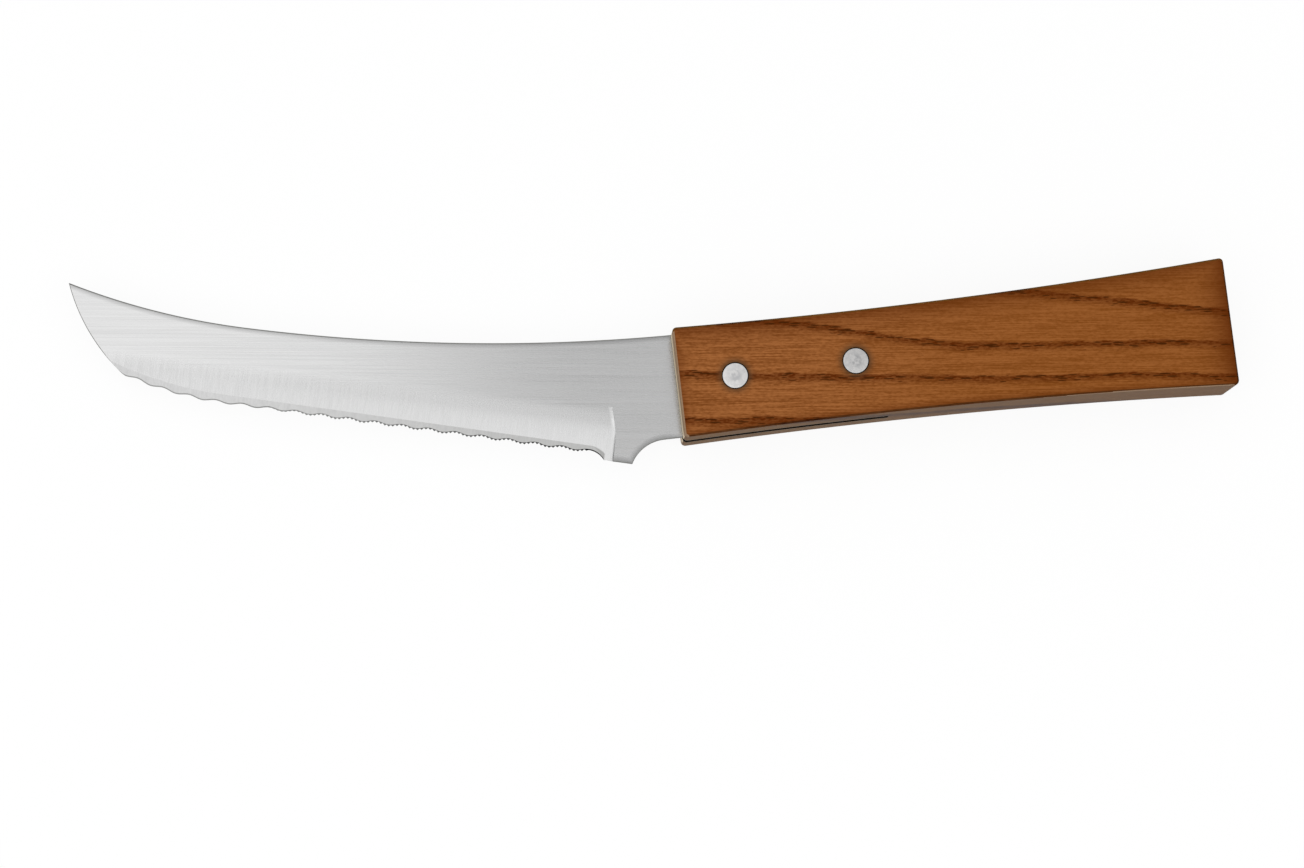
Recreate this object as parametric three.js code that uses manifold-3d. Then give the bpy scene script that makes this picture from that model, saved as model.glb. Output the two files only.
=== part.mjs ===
// Soft cheese knife with an upswept serrated blade and a wooden handle, lying on its side.
// Millimetres. X runs along the handle axis from blade to butt, Y from cutting edge to spine,
// Z through the thickness, so the blade's left side faces up. The handle's front end is at
// X = 0 while the pieces are made, and Z = 0 is the middle of the blade.
import * as THREE from 'three';
import { mergeVertices } from 'three/addons/utils/BufferGeometryUtils.js';
import Module from 'manifold-3d';

const wasm = await Module();
wasm.setup();

// Handle: one block of wood with hollowed sides, rounded edges and a saw slot for the tang
const HANDLE_LENGTH = 114.5;
const HANDLE_THICKNESS = 16;
const HANDLE_WAIST_ABOVE_AXIS = 10.75;
const HANDLE_WAIST_BELOW_AXIS = 10.95;
const HANDLE_WAIST_FROM_FRONT = 36;
const HANDLE_SIDE_RADIUS = 1250;
const HANDLE_FRONT_CORNER = 0.9;
const HANDLE_BUTT_TOP_CORNER = 0.9;
const HANDLE_BUTT_BOTTOM_CORNER = 1.1;
const HANDLE_EDGE_ROUND = 0.4;
const SAW_RADIUS = 60;
const SAW_OVERRUN = 2.7;

// Blade: stamped from sheet, with a half tang that fills part of the saw slot
const BLADE_THICKNESS = 1.5;
const BLADE_LENGTH = 121.5;
const SPINE_ABOVE_AXIS = 10.82;
const SPINE_RISE = THREE.MathUtils.degToRad(1.1);
const SPINE_RADIUS = 401;
const SPINE_TIP_RADIUS = 150;
const SPINE_TIP_START = 86.5;
const FRONT_RADIUS = 39.8;
const NECK_BELOW_AXIS = 10.5;
const CHOIL_RADIUS = 8;
const CHOIL_FROM_HANDLE = 3.8;
const TANG_PAST_RIVET = 4.4;
const TANG_END_HEIGHT = 16;
const TANG_CORNER = 2;
const TANG_CLEARANCE = 0.2;

// Cutting edge: straight from the heel, then curved up to the front edge.
// Its run is counted from the last gullet, the one beside the heel.
const GULLET_FROM_HANDLE = 19.6;
const GULLET_BELOW_AXIS = 11.17;
const EDGE_ANGLE = THREE.MathUtils.degToRad(14.07);
const EDGE_LENGTH = 97.1;
const EDGE_STRAIGHT = 75;
const EDGE_TIP_RADIUS = 75;
const HEEL_DROP = 1.38;

// Grind: both sides fall away to the edge on one large radius and end in a plunge at the heel
const GRIND_HEIGHT = 9.25;
const GRIND_ANGLE = THREE.MathUtils.degToRad(13.3);
const GROUND_THICKNESS = 0.45;
const PLUNGE_PAST_GULLET = 3.76;
const PLUNGE_REACH = 1.4;
const PLUNGE_RISE = 0.3;
const PLUNGE_WALL = 0.2;

// Serration: a plain bevel on the left side, and wave flutes with fine teeth on the right
const BEVEL_ANGLE = THREE.MathUtils.degToRad(16.7);
const BEVEL_HEIGHT = 1.1;
const FLUTE_ANGLE = THREE.MathUtils.degToRad(20);
const WAVE_PITCH = 5.5;
const WAVE_DEPTH = 0.46;
const LAST_GULLET_RADIUS = 4.4;
const TOOTH_PITCH = 0.85;
const TOOTH_DEPTH = 0.3;
const TOOTHED_LENGTH = 68;
const TOOTH_FADE = 14;

// Rivets: two solid pins, peened into shallow countersinks
const RIVET_FROM_FRONT = 11.7;
const RIVET_SPACING = 24.9;
const REAR_RIVET_RISE = 0.3;
const RIVET_DIAMETER = 4.9;
const RIVET_HEAD_FLARE = 0.1;
const RIVET_HEAD_HEIGHT = 0.8;
const RIVET_DOME = 0.06;
const RIVET_INSET = 0.05;
const RIVET_CLEARANCE = 0.2;

// How far a tool reaches past the material it cuts, and how finely round forms are stepped
const TOOL_MARGIN = 3;
const LONG_ARC_STEPS = 20;
const SHORT_ARC_STEPS = 10;
const CORNER_STEPS = 4;
const EDGE_ROUND_STEPS = 3;
const TURNED_STEPS = 32;
const BEVEL_STRIDE = 4;
const SAME_PLACE = 1e-6;

const wood = new THREE.MeshStandardMaterial({ color: 0x86502a, roughness: 0.6, metalness: 0 });
const steel = new THREE.MeshStandardMaterial({ color: 0xd0d0ce, roughness: 0.35, metalness: 1 });
const aluminium = new THREE.MeshStandardMaterial({ color: 0xd2d3d4, roughness: 0.45, metalness: 1 });

const point = (x, y) => new THREE.Vector2(x, y);
const angleFrom = (centre, target) => Math.atan2(target.y - centre.y, target.x - centre.x);

// The part of a circle between two of its points, turning counterclockwise unless told otherwise.
function arcBetween(centre, radius, start, end, clockwise = false) {
  const from = angleFrom(centre, start);
  return new THREE.ArcCurve(centre.x, centre.y, radius, from, angleFrom(centre, end), clockwise);
}

// A rounded corner between two straight legs of a counterclockwise outline.
function roundedCorner(before, corner, after, radius) {
  const back = before.clone().sub(corner).normalize();
  const ahead = after.clone().sub(corner).normalize();
  const half = Math.acos(back.dot(ahead)) / 2;
  const reach = radius / Math.tan(half);
  const centre = back.clone().add(ahead).setLength(radius / Math.sin(half)).add(corner);
  const start = back.clone().multiplyScalar(reach).add(corner);
  const end = ahead.clone().multiplyScalar(reach).add(corner);
  return arcBetween(centre, radius, start, end);
}

// A flat outline from a run of single points and [curve, steps] pairs, joined by straight lines.
function outline(runs) {
  const points = runs.flatMap((run) => (Array.isArray(run) ? run[0].getPoints(run[1]) : [run]));
  const isNew = (place, index) => place.distanceTo(points.at(index - 1)) > SAME_PLACE;
  return new THREE.Shape(points.filter(isNew));
}

// A plate of the given outline and thickness, centred on the middle plane.
function plate(shape, thickness) {
  const geometry = new THREE.ExtrudeGeometry(shape, { depth: thickness, bevelEnabled: false });
  return geometry.translate(0, 0, -thickness / 2);
}

// A turned solid about Z, the same above and below the middle plane.
function turned(upperHalf) {
  const lowerHalf = upperHalf.map((corner) => point(corner.x, -corner.y)).reverse();
  const geometry = new THREE.LatheGeometry([...lowerHalf, ...upperHalf], TURNED_STEPS);
  return geometry.rotateX(Math.PI / 2);
}

// A closed skin over a row of rings that all have the same number of corners.
// The rings turn clockwise as seen from the end that the row starts at.
function loft(rings) {
  const corners = rings[0].length;
  const last = (rings.length - 1) * corners;
  const index = [];
  for (let row = 0; row < last; row += corners) {
    for (let corner = 0; corner < corners; corner += 1) {
      const next = (corner + 1) % corners;
      index.push(row + corner, row + next, row + corners + corner);
      index.push(row + next, row + corners + next, row + corners + corner);
    }
  }
  for (let corner = 1; corner < corners - 1; corner += 1) {
    index.push(0, corner + 1, corner);
    index.push(last, last + corner, last + corner + 1);
  }
  const geometry = new THREE.BufferGeometry().setFromPoints(rings.flat());
  return geometry.setIndex(index);
}

// A solid that can be cut, from a closed geometry.
function solidOf(geometry) {
  geometry.deleteAttribute('normal');
  geometry.deleteAttribute('uv');
  const merged = mergeVertices(geometry);
  const corners = merged.index.array;
  const triangles = [];
  for (let at = 0; at < corners.length; at += 3) {
    const [a, b, c] = corners.slice(at, at + 3);
    if (a !== b && b !== c && c !== a) triangles.push(a, b, c);
  }
  return new wasm.Manifold(new wasm.Mesh({
    numProp: 3,
    vertProperties: new Float32Array(merged.attributes.position.array),
    triVerts: new Uint32Array(triangles),
  }));
}

// A named mesh of a finished solid.
function meshOf(name, solid, material) {
  const { vertProperties, triVerts } = solid.getMesh();
  const geometry = new THREE.BufferGeometry();
  geometry.setAttribute('position', new THREE.BufferAttribute(vertProperties, 3));
  geometry.setIndex(new THREE.BufferAttribute(triVerts, 1));
  geometry.computeVertexNormals();
  const mesh = new THREE.Mesh(geometry, material);
  mesh.name = name;
  return mesh;
}

const cutAway = (solid, tools) => tools.reduce((rest, tool) => rest.subtract(tool), solid);

// The front rivet lies on the handle axis, the rear one a little higher, and the tang runs on past it.
const rivetPlaces = [
  point(RIVET_FROM_FRONT, 0),
  point(RIVET_FROM_FRONT + RIVET_SPACING, REAR_RIVET_RISE),
];
const tangLength = rivetPlaces[1].x + TANG_PAST_RIVET;
const rivetShank = RIVET_DIAMETER / 2;
const rivetTop = HANDLE_THICKNESS / 2 - RIVET_INSET;

function rivetAt(place) {
  const head = rivetShank + RIVET_HEAD_FLARE;
  const dome = [1, 0.75, 0.5, 0.25, 0].map((share) =>
    point(head * share, rivetTop - RIVET_DOME * share ** 2));
  const profile = [point(rivetShank, rivetTop - RIVET_HEAD_HEIGHT), ...dome];
  return solidOf(turned(profile).translate(place.x, place.y, 0));
}

// The countersunk hole that a rivet fills, open at both faces of the handle.
function handleHoleAt(place) {
  const shank = rivetShank + RIVET_CLEARANCE;
  const head = shank + RIVET_HEAD_FLARE;
  const outside = HANDLE_THICKNESS / 2 + TOOL_MARGIN;
  const profile = [
    point(shank, rivetTop - RIVET_HEAD_HEIGHT),
    point(head, rivetTop - RIVET_DOME),
    point(head, outside),
    point(0, outside),
  ];
  return solidOf(turned(profile).translate(place.x, place.y, 0));
}

function tangHoleAt(place) {
  const radius = rivetShank + RIVET_CLEARANCE;
  const profile = [point(radius, BLADE_THICKNESS), point(0, BLADE_THICKNESS)];
  return solidOf(turned(profile).translate(place.x, place.y, 0));
}

// Handle. Both long sides are one shallow arc, and every corner arc touches the end and the side.
function handleOutline() {
  const sideCentre = (side) => {
    const waist = side > 0 ? HANDLE_WAIST_ABOVE_AXIS : HANDLE_WAIST_BELOW_AXIS;
    return point(HANDLE_WAIST_FROM_FRONT, side * (waist + HANDLE_SIDE_RADIUS));
  };
  const corner = (end, inward, side, radius) => {
    const x = end + inward * radius;
    const far = HANDLE_SIDE_RADIUS + radius;
    const middle = sideCentre(side);
    const y = middle.y - side * Math.sqrt(far ** 2 - (x - middle.x) ** 2);
    const centre = point(x, y);
    const onSide = middle.clone().sub(centre).setLength(radius).add(centre);
    return { centre, radius, onSide, onEnd: point(end, y) };
  };
  const sideArc = (side, from, to) =>
    [arcBetween(sideCentre(side), HANDLE_SIDE_RADIUS, from.onSide, to.onSide, true), LONG_ARC_STEPS];
  const cornerArc = ({ centre, radius }, start, end) =>
    [arcBetween(centre, radius, start, end), CORNER_STEPS];
  const frontLow = corner(0, 1, -1, HANDLE_FRONT_CORNER);
  const frontHigh = corner(0, 1, 1, HANDLE_FRONT_CORNER);
  const buttLow = corner(HANDLE_LENGTH, -1, -1, HANDLE_BUTT_BOTTOM_CORNER);
  const buttHigh = corner(HANDLE_LENGTH, -1, 1, HANDLE_BUTT_TOP_CORNER);
  return outline([
    sideArc(-1, frontLow, buttLow),
    cornerArc(buttLow, buttLow.onSide, buttLow.onEnd),
    cornerArc(buttHigh, buttHigh.onEnd, buttHigh.onSide),
    sideArc(1, buttHigh, frontHigh),
    cornerArc(frontHigh, frontHigh.onSide, frontHigh.onEnd),
    cornerArc(frontLow, frontLow.onEnd, frontLow.onSide),
  ]);
}

// The slot of a round saw fed in from the front end, as wide as the tang and its clearance.
function sawSlot() {
  const depth = tangLength + SAW_OVERRUN;
  const reach = Math.max(HANDLE_WAIST_ABOVE_AXIS, HANDLE_WAIST_BELOW_AXIS) + TOOL_MARGIN;
  const hub = point(depth - SAW_RADIUS, 0);
  const end = point(hub.x + Math.sqrt(SAW_RADIUS ** 2 - reach ** 2), reach);
  const start = point(end.x, -reach);
  const shape = outline([
    point(-TOOL_MARGIN, -reach),
    [arcBetween(hub, SAW_RADIUS, start, end), SHORT_ARC_STEPS],
    point(-TOOL_MARGIN, reach),
  ]);
  return solidOf(plate(shape, BLADE_THICKNESS + 2 * TANG_CLEARANCE));
}

function handle() {
  const block = new THREE.ExtrudeGeometry(handleOutline(), {
    depth: HANDLE_THICKNESS - 2 * HANDLE_EDGE_ROUND,
    bevelThickness: HANDLE_EDGE_ROUND,
    bevelSize: HANDLE_EDGE_ROUND,
    bevelOffset: -HANDLE_EDGE_ROUND,
    bevelSegments: EDGE_ROUND_STEPS,
  });
  block.translate(0, 0, HANDLE_EDGE_ROUND - HANDLE_THICKNESS / 2);
  return cutAway(solidOf(block), [sawSlot(), ...rivetPlaces.map(handleHoleAt)]);
}

// Cutting edge. A place on it is its distance from the last gullet, counted towards the tip.
const lastGullet = point(-GULLET_FROM_HANDLE, -GULLET_BELOW_AXIS);
const towardsTip = (angle) => point(-Math.cos(angle), Math.sin(angle));
const intoBlade = (angle) => point(Math.sin(angle), Math.cos(angle));
const along = (start, direction, distance) => start.clone().addScaledVector(direction, distance);

// The mean edge line at a run along it, with the direction that points up into the blade.
function edgeAt(run) {
  if (run <= EDGE_STRAIGHT) {
    return { place: along(lastGullet, towardsTip(EDGE_ANGLE), run), up: intoBlade(EDGE_ANGLE) };
  }
  const bend = along(lastGullet, towardsTip(EDGE_ANGLE), EDGE_STRAIGHT);
  const centre = along(bend, intoBlade(EDGE_ANGLE), EDGE_TIP_RADIUS);
  const up = intoBlade(EDGE_ANGLE + (run - EDGE_STRAIGHT) / EDGE_TIP_RADIUS);
  return { place: along(centre, up, -EDGE_TIP_RADIUS), up };
}

// A corner of a tool's ring, by its height above the mean edge and its distance from mid-blade.
function ringCorner({ place, up }, height, z) {
  const spot = along(place, up, height);
  return new THREE.Vector3(spot.x, spot.y, z);
}

// Beside the heel the edge runs down on the round of the last gullet to the uncut heel.
function gulletRunDown(run) {
  if (run >= 0) return 0;
  return Math.sqrt(LAST_GULLET_RADIUS ** 2 - run ** 2) - LAST_GULLET_RADIUS;
}

// Height of the finished edge above its mean line: waves, with fine teeth that fade out before
// the edge bends up to the front.
function edgeHeight(run, step) {
  const wave = (WAVE_DEPTH / 2) * Math.cos((2 * Math.PI * Math.max(run, 0)) / WAVE_PITCH);
  const fade = run > 0 ? THREE.MathUtils.clamp((TOOTHED_LENGTH - run) / TOOTH_FADE, 0, 1) : 0;
  const tooth = (TOOTH_DEPTH / 2) * fade * (step % 2 === 0 ? 1 : -1);
  return wave + tooth + gulletRunDown(run);
}

// The wheel's section: tangent to the flat along the grind line, and deeper towards the edge.
const fullDepth = (BLADE_THICKNESS - GROUND_THICKNESS) / 2;
const wheelRadius = (GRIND_HEIGHT ** 2 + fullDepth ** 2) / (2 * fullDepth);
const grindStart = along(lastGullet, intoBlade(EDGE_ANGLE), GRIND_HEIGHT);
const depthAt = (below) => wheelRadius - Math.sqrt(wheelRadius ** 2 - below ** 2);

// The bevel grows with the thickness that the grind leaves, up to its full height. Nearer the tip
// it keeps that height, and the edge lies further to the left of mid-blade.
function edgeShift(run) {
  const below = grindStart.clone().sub(edgeAt(run).place).dot(intoBlade(GRIND_ANGLE));
  const leftFace = BLADE_THICKNESS / 2 - depthAt(Math.max(0, below));
  return Math.max(0, leftFace - BEVEL_HEIGHT * Math.tan(BEVEL_ANGLE));
}

// The runs that the flutes stop at: from the heel, half a fine tooth apart, to past the front.
// The bevel takes every stop at the heel and a few of the others.
const wallDrop = LAST_GULLET_RADIUS - HEEL_DROP - WAVE_DEPTH / 2;
const heelRun = -Math.sqrt(LAST_GULLET_RADIUS ** 2 - wallDrop ** 2);
const edgeStep = TOOTH_PITCH / 2;
const edgeRuns = [];
for (let run = heelRun; run < BLADE_LENGTH; run += edgeStep) {
  edgeRuns.push(run);
}
const bevelRuns = edgeRuns.filter((run, step) => run < 0 || step % BEVEL_STRIDE === 0);

// The flat bevel of the left side, which ends on the mean edge line.
function bevelTool() {
  const low = -HEEL_DROP - TOOL_MARGIN;
  const high = BLADE_THICKNESS / Math.tan(BEVEL_ANGLE);
  const slope = Math.tan(BEVEL_ANGLE);
  const top = BLADE_THICKNESS + TOOL_MARGIN;
  return solidOf(loft(bevelRuns.map((run) => {
    const edge = edgeAt(run);
    const base = gulletRunDown(run);
    const rim = edgeShift(run);
    return [
      ringCorner(edge, base + low, rim + low * slope),
      ringCorner(edge, base + low, top),
      ringCorner(edge, base + high, top),
      ringCorner(edge, base + high, rim + high * slope),
    ];
  })));
}

// The wave flutes of the right side. They meet the bevel in the toothed edge.
function fluteTool() {
  const low = -HEEL_DROP - TOOL_MARGIN;
  const high = BLADE_THICKNESS / Math.tan(FLUTE_ANGLE);
  const slope = -Math.tan(FLUTE_ANGLE);
  const bottom = -BLADE_THICKNESS - TOOL_MARGIN;
  return solidOf(loft(edgeRuns.map((run, step) => {
    const edge = edgeAt(run);
    const height = edgeHeight(run, step);
    const rim = edgeShift(run) + (height - gulletRunDown(run)) * Math.tan(BEVEL_ANGLE);
    return [
      ringCorner(edge, height + low, bottom),
      ringCorner(edge, height + low, rim + low * slope),
      ringCorner(edge, height + high, rim + high * slope),
      ringCorner(edge, height + high, bottom),
    ];
  })));
}

// The grind of one side. Where it ends at the heel, the wheel lifts off the blade in a short curve.
function grindTool(side) {
  const width = GRIND_HEIGHT + HEEL_DROP + TOOL_MARGIN;
  const facet = width / LONG_ARC_STEPS;
  const face = BLADE_THICKNESS / 2;
  const profile = [[-facet, face + depthAt(facet)]];
  for (let step = 0; step <= LONG_ARC_STEPS; step += 1) {
    profile.push([step * facet, face - depthAt(step * facet)]);
  }
  profile.push([width, face + TOOL_MARGIN], [-facet, face + TOOL_MARGIN]);
  const ring = (run, lift) => {
    const line = { place: along(grindStart, towardsTip(GRIND_ANGLE), run), up: intoBlade(GRIND_ANGLE) };
    const corners = profile.map(([below, z]) => ringCorner(line, -below, side * (z + lift)));
    return side > 0 ? corners : corners.reverse();
  };
  const plungeEnd = -PLUNGE_PAST_GULLET - PLUNGE_REACH;
  const rings = [ring(plungeEnd - PLUNGE_WALL, BLADE_THICKNESS)];
  for (let step = SHORT_ARC_STEPS; step >= 0; step -= 1) {
    const turn = (step / SHORT_ARC_STEPS) * (Math.PI / 2);
    const run = -PLUNGE_PAST_GULLET - PLUNGE_REACH * Math.sin(turn);
    rings.push(ring(run, PLUNGE_RISE * (1 - Math.cos(turn))));
  }
  rings.push(ring(BLADE_LENGTH, 0));
  return solidOf(loft(rings));
}

// The lower side of the blank, as far below the edge line as the heel, from the front back.
function blankLowerSide() {
  const places = [];
  for (let step = LONG_ARC_STEPS - 1; step >= 0; step -= 1) {
    const { place, up } = edgeAt((EDGE_LENGTH * step) / LONG_ARC_STEPS);
    places.push(along(place, up, -HEEL_DROP));
  }
  return places;
}

// The stamped blank: spine in two arcs, front edge, lower side, choil, neck and tang.
function blankOutline() {
  const root = point(0, SPINE_ABOVE_AXIS);
  const spineCentre = along(root, intoBlade(SPINE_RISE), SPINE_RADIUS);
  const onSpine = (centre, radius, x) => point(x, centre.y - Math.sqrt(radius ** 2 - (x - centre.x) ** 2));
  const bend = onSpine(spineCentre, SPINE_RADIUS, -SPINE_TIP_START);
  const tipCentre = spineCentre.clone().sub(bend).setLength(SPINE_TIP_RADIUS).add(bend);
  const tip = onSpine(tipCentre, SPINE_TIP_RADIUS, -BLADE_LENGTH);

  // The front edge is one arc from the end of the spine to the end of the cutting edge.
  const frontEnd = edgeAt(EDGE_LENGTH).place;
  const chord = frontEnd.clone().sub(tip);
  const inward = point(-chord.y, chord.x).normalize();
  const frontCentre = tip.clone().lerp(frontEnd, 0.5)
    .addScaledVector(inward, Math.sqrt(FRONT_RADIUS ** 2 - chord.lengthSq() / 4));

  // The choil is a round cut that starts where it meets the lower side and ends level at the neck.
  const lowerSide = blankLowerSide();
  const choilCentre = point(-CHOIL_FROM_HANDLE, -NECK_BELOW_AXIS - CHOIL_RADIUS);
  const offset = lowerSide.at(-1).clone().sub(choilCentre);
  const lean = offset.dot(towardsTip(EDGE_ANGLE));
  const spread = Math.sqrt(lean ** 2 - offset.lengthSq() + CHOIL_RADIUS ** 2);
  const heel = along(lowerSide.at(-1), towardsTip(EDGE_ANGLE), spread - lean);
  const choilEnd = point(-CHOIL_FROM_HANDLE, -NECK_BELOW_AXIS);

  // The tang tapers from the full height of the neck to its rounded end.
  const neckLow = point(0, -NECK_BELOW_AXIS);
  const tangLow = point(tangLength, -TANG_END_HEIGHT / 2);
  const tangHigh = point(tangLength, TANG_END_HEIGHT / 2);
  return outline([
    neckLow,
    [roundedCorner(neckLow, tangLow, tangHigh, TANG_CORNER), CORNER_STEPS],
    [roundedCorner(tangLow, tangHigh, root, TANG_CORNER), CORNER_STEPS],
    [arcBetween(spineCentre, SPINE_RADIUS, root, bend, true), LONG_ARC_STEPS],
    [arcBetween(tipCentre, SPINE_TIP_RADIUS, bend, tip, true), LONG_ARC_STEPS],
    [arcBetween(frontCentre, FRONT_RADIUS, tip, frontEnd), LONG_ARC_STEPS],
    ...lowerSide,
    [arcBetween(choilCentre, CHOIL_RADIUS, heel, choilEnd, true), SHORT_ARC_STEPS],
  ]);
}

function blade() {
  const blank = solidOf(plate(blankOutline(), BLADE_THICKNESS));
  const holes = rivetPlaces.map(tangHoleAt);
  return cutAway(blank, [grindTool(1), grindTool(-1), bevelTool(), fluteTool(), ...holes]);
}

const knife = new THREE.Group();
knife.add(
  meshOf('handle', handle(), wood),
  meshOf('blade', blade(), steel),
  meshOf('rivet_front', rivetAt(rivetPlaces[0]), aluminium),
  meshOf('rivet_rear', rivetAt(rivetPlaces[1]), aluminium),
);

// The knife lies on its right side with its box centred over the origin.
const box = new THREE.Box3().setFromObject(knife, true);
const middle = box.getCenter(new THREE.Vector3());
knife.position.set(-middle.x, -middle.y, -box.min.z);

export default knife;
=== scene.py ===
# %% [markdown]
# # A soft cheese knife, made as the workshop makes it
#
# The knife has four pieces: a blade with a half tang, a handle sawn from one block of wood, and
# two solid rivets. The CAD model gives their places and sizes. Here each piece is modelled again
# with finer forms and gets its finish, in the order of the real work: stamp, grind, serrate, saw,
# drill and rivet. Lengths on the knife are written in millimetres, and Blender works in metres.

# %% Load the CAD frame
import math
from contextlib import contextmanager

import bpy
from mathutils import Matrix, Vector


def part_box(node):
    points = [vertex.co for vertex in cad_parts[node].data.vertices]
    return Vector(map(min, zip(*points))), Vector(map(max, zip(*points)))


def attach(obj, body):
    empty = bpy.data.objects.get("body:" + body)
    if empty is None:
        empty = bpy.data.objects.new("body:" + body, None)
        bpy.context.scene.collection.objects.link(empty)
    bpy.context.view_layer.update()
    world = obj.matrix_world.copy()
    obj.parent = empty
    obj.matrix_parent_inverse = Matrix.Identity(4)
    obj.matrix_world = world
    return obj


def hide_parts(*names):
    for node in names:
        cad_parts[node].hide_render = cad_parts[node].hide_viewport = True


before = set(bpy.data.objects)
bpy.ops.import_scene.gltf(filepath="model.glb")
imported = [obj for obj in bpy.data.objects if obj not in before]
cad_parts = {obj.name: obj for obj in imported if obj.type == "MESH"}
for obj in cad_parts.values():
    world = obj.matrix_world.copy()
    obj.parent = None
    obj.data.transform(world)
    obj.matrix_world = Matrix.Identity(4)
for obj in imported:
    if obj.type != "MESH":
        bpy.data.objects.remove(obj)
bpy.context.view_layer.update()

MM = 0.001

# %% [markdown]
# ## One place to measure from
#
# A maker measures from a few fixed edges. Here everything is measured from the middle of the
# handle's front end: X runs back along the handle, Y from the cutting edge up to the spine, and
# Z through the thickness. The frame says where that point is: the end of the handle, the line
# through the rivets, and the middle of the handle's thickness.

# %% Find the middle of the handle's front end
handle_low, handle_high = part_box("handle")
rivet_low, rivet_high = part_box("rivet_front")
datum = Vector((
    handle_low.x,
    (rivet_low.y + rivet_high.y) / 2,
    (handle_low.z + handle_high.z) / 2,
))


def spot(x, y, z=0.0):
    """A place given in millimetres from the datum."""
    return Vector((x, y, z))


def in_frame(place):
    """The same place in metres, in the frame of the CAD model."""
    return datum + place * MM


print("datum in mm:", [round(value / MM, 2) for value in datum])

# %% [markdown]
# ## Drawing with operators
#
# A flat outline could be typed in as a list of points, but a drawing is easier to follow: put the
# pencil down, draw a line, swing an arc. In edit mode the pencil is one selected vertex. Extruding
# it draws a line and spinning it about a centre draws an arc, which is exact however fine it is.
# The vertex comes from a tiny plane that is merged to its middle. Spin counts its angle clockwise,
# so the sign is turned round here.

# %% A pencil made of one vertex
WELD = 0.0005 * MM


def open_new(name):
    """Names the mesh that was just added and opens it in edit mode, with all of it selected."""
    piece = bpy.context.object
    piece.name = name
    piece.data.name = name
    bpy.ops.object.mode_set(mode="EDIT")
    bpy.ops.mesh.select_mode(type="VERT")
    bpy.ops.mesh.select_all(action="SELECT")
    return piece


class Pencil:
    """Draws a wire in edit mode. The object stays at the origin and its place is in its mesh."""

    def __init__(self, name, start):
        bpy.ops.mesh.primitive_plane_add(size=MM)
        self.piece = open_new(name)
        self.place = start
        bpy.ops.mesh.merge(type="CENTER")
        bpy.ops.transform.translate(value=in_frame(start))

    def line_to(self, place):
        move = (place - self.place) * MM
        bpy.ops.mesh.extrude_vertices_move(TRANSFORM_OT_translate={"value": move})
        self.place = place

    def swing(self, centre, axis, angle, steps):
        """An arc about an axis through the centre, counterclockwise when the axis points at you."""
        bpy.ops.mesh.spin(steps=steps, angle=-angle, center=in_frame(centre), axis=axis)
        self.place = centre + Matrix.Rotation(angle, 3, axis) @ (self.place - centre)

    def arc_to(self, centre, place, steps):
        """The shorter arc about an upright axis to a place."""
        start = self.place - centre
        end = place - centre
        angle = math.atan2(start.x * end.y - start.y * end.x, start.x * end.x + start.y * end.y)
        self.swing(centre, Vector((0, 0, 1)), angle, steps)

    def fill(self):
        """Closes the wire and fills it with one face, which stays selected."""
        bpy.ops.mesh.select_all(action="SELECT")
        bpy.ops.mesh.remove_doubles(threshold=WELD)
        bpy.ops.mesh.edge_face_add()
        return self.piece


print("points closer than", WELD / MM, "mm are welded")

# %% [markdown]
# The outlines are then extruded, and parts of them are picked by a test on their faces: where a face
# looks, or where it lies. A tool's solid is taken away with a Boolean modifier, whose MANIFOLD
# solver is quick and keeps closed meshes closed.

# %% Helpers for solids
SIDE_FACING = 0.5


def extrude(move):
    """Extrudes what is selected by a move in millimetres."""
    bpy.ops.mesh.extrude_region_move(TRANSFORM_OT_translate={"value": move * MM})


def close_edit():
    """Welds the piece, turns its faces outwards and leaves edit mode."""
    bpy.ops.mesh.select_all(action="SELECT")
    bpy.ops.mesh.remove_doubles(threshold=WELD)
    bpy.ops.mesh.normals_make_consistent(inside=False)
    bpy.ops.object.mode_set(mode="OBJECT")


def thicken(piece, thickness, finishes):
    """Extrudes the drawn face, half to each side of its plane, and hands the piece its finishes."""
    bpy.ops.mesh.select_all(action="SELECT")
    bpy.ops.transform.translate(value=spot(0, 0, -thickness / 2) * MM)
    extrude(spot(0, 0, thickness))
    close_edit()
    for finish in finishes:
        piece.data.materials.append(finish)


def is_side(normal):
    """Tells the sides of an extruded outline from its two flat faces."""
    return abs(normal.z) < SIDE_FACING


@contextmanager
def picking(kind):
    """Leaves edit mode with nothing selected, because a script can only pick there, and returns."""
    bpy.ops.mesh.select_mode(type=kind)
    bpy.ops.mesh.select_all(action="DESELECT")
    bpy.ops.object.mode_set(mode="OBJECT")
    yield
    bpy.ops.object.mode_set(mode="EDIT")


def select_rims(piece, wanted):
    """In edit mode, selects the long edges of the side faces whose normals a test picks."""
    with picking("EDGE"):
        picked = {key for face in piece.data.polygons if wanted(face.normal) for key in face.edge_keys}
        for edge in piece.data.edges:
            first, second = (piece.data.vertices[index].co for index in edge.vertices)
            edge.select = edge.key in picked and abs(first.z - second.z) < WELD


def finish_index(piece, finish):
    return piece.data.materials.find(finish.name)


def paint(piece, finish, wanted):
    """In edit mode, gives one of the piece's finishes to the faces that a test picks."""
    with picking("FACE"):
        for face in piece.data.polygons:
            face.select = wanted(face)
    piece.active_material_index = finish_index(piece, finish)
    bpy.ops.object.material_slot_assign()


def make_active(piece):
    bpy.ops.object.select_all(action="DESELECT")
    piece.select_set(True)
    bpy.context.view_layer.objects.active = piece


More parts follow.
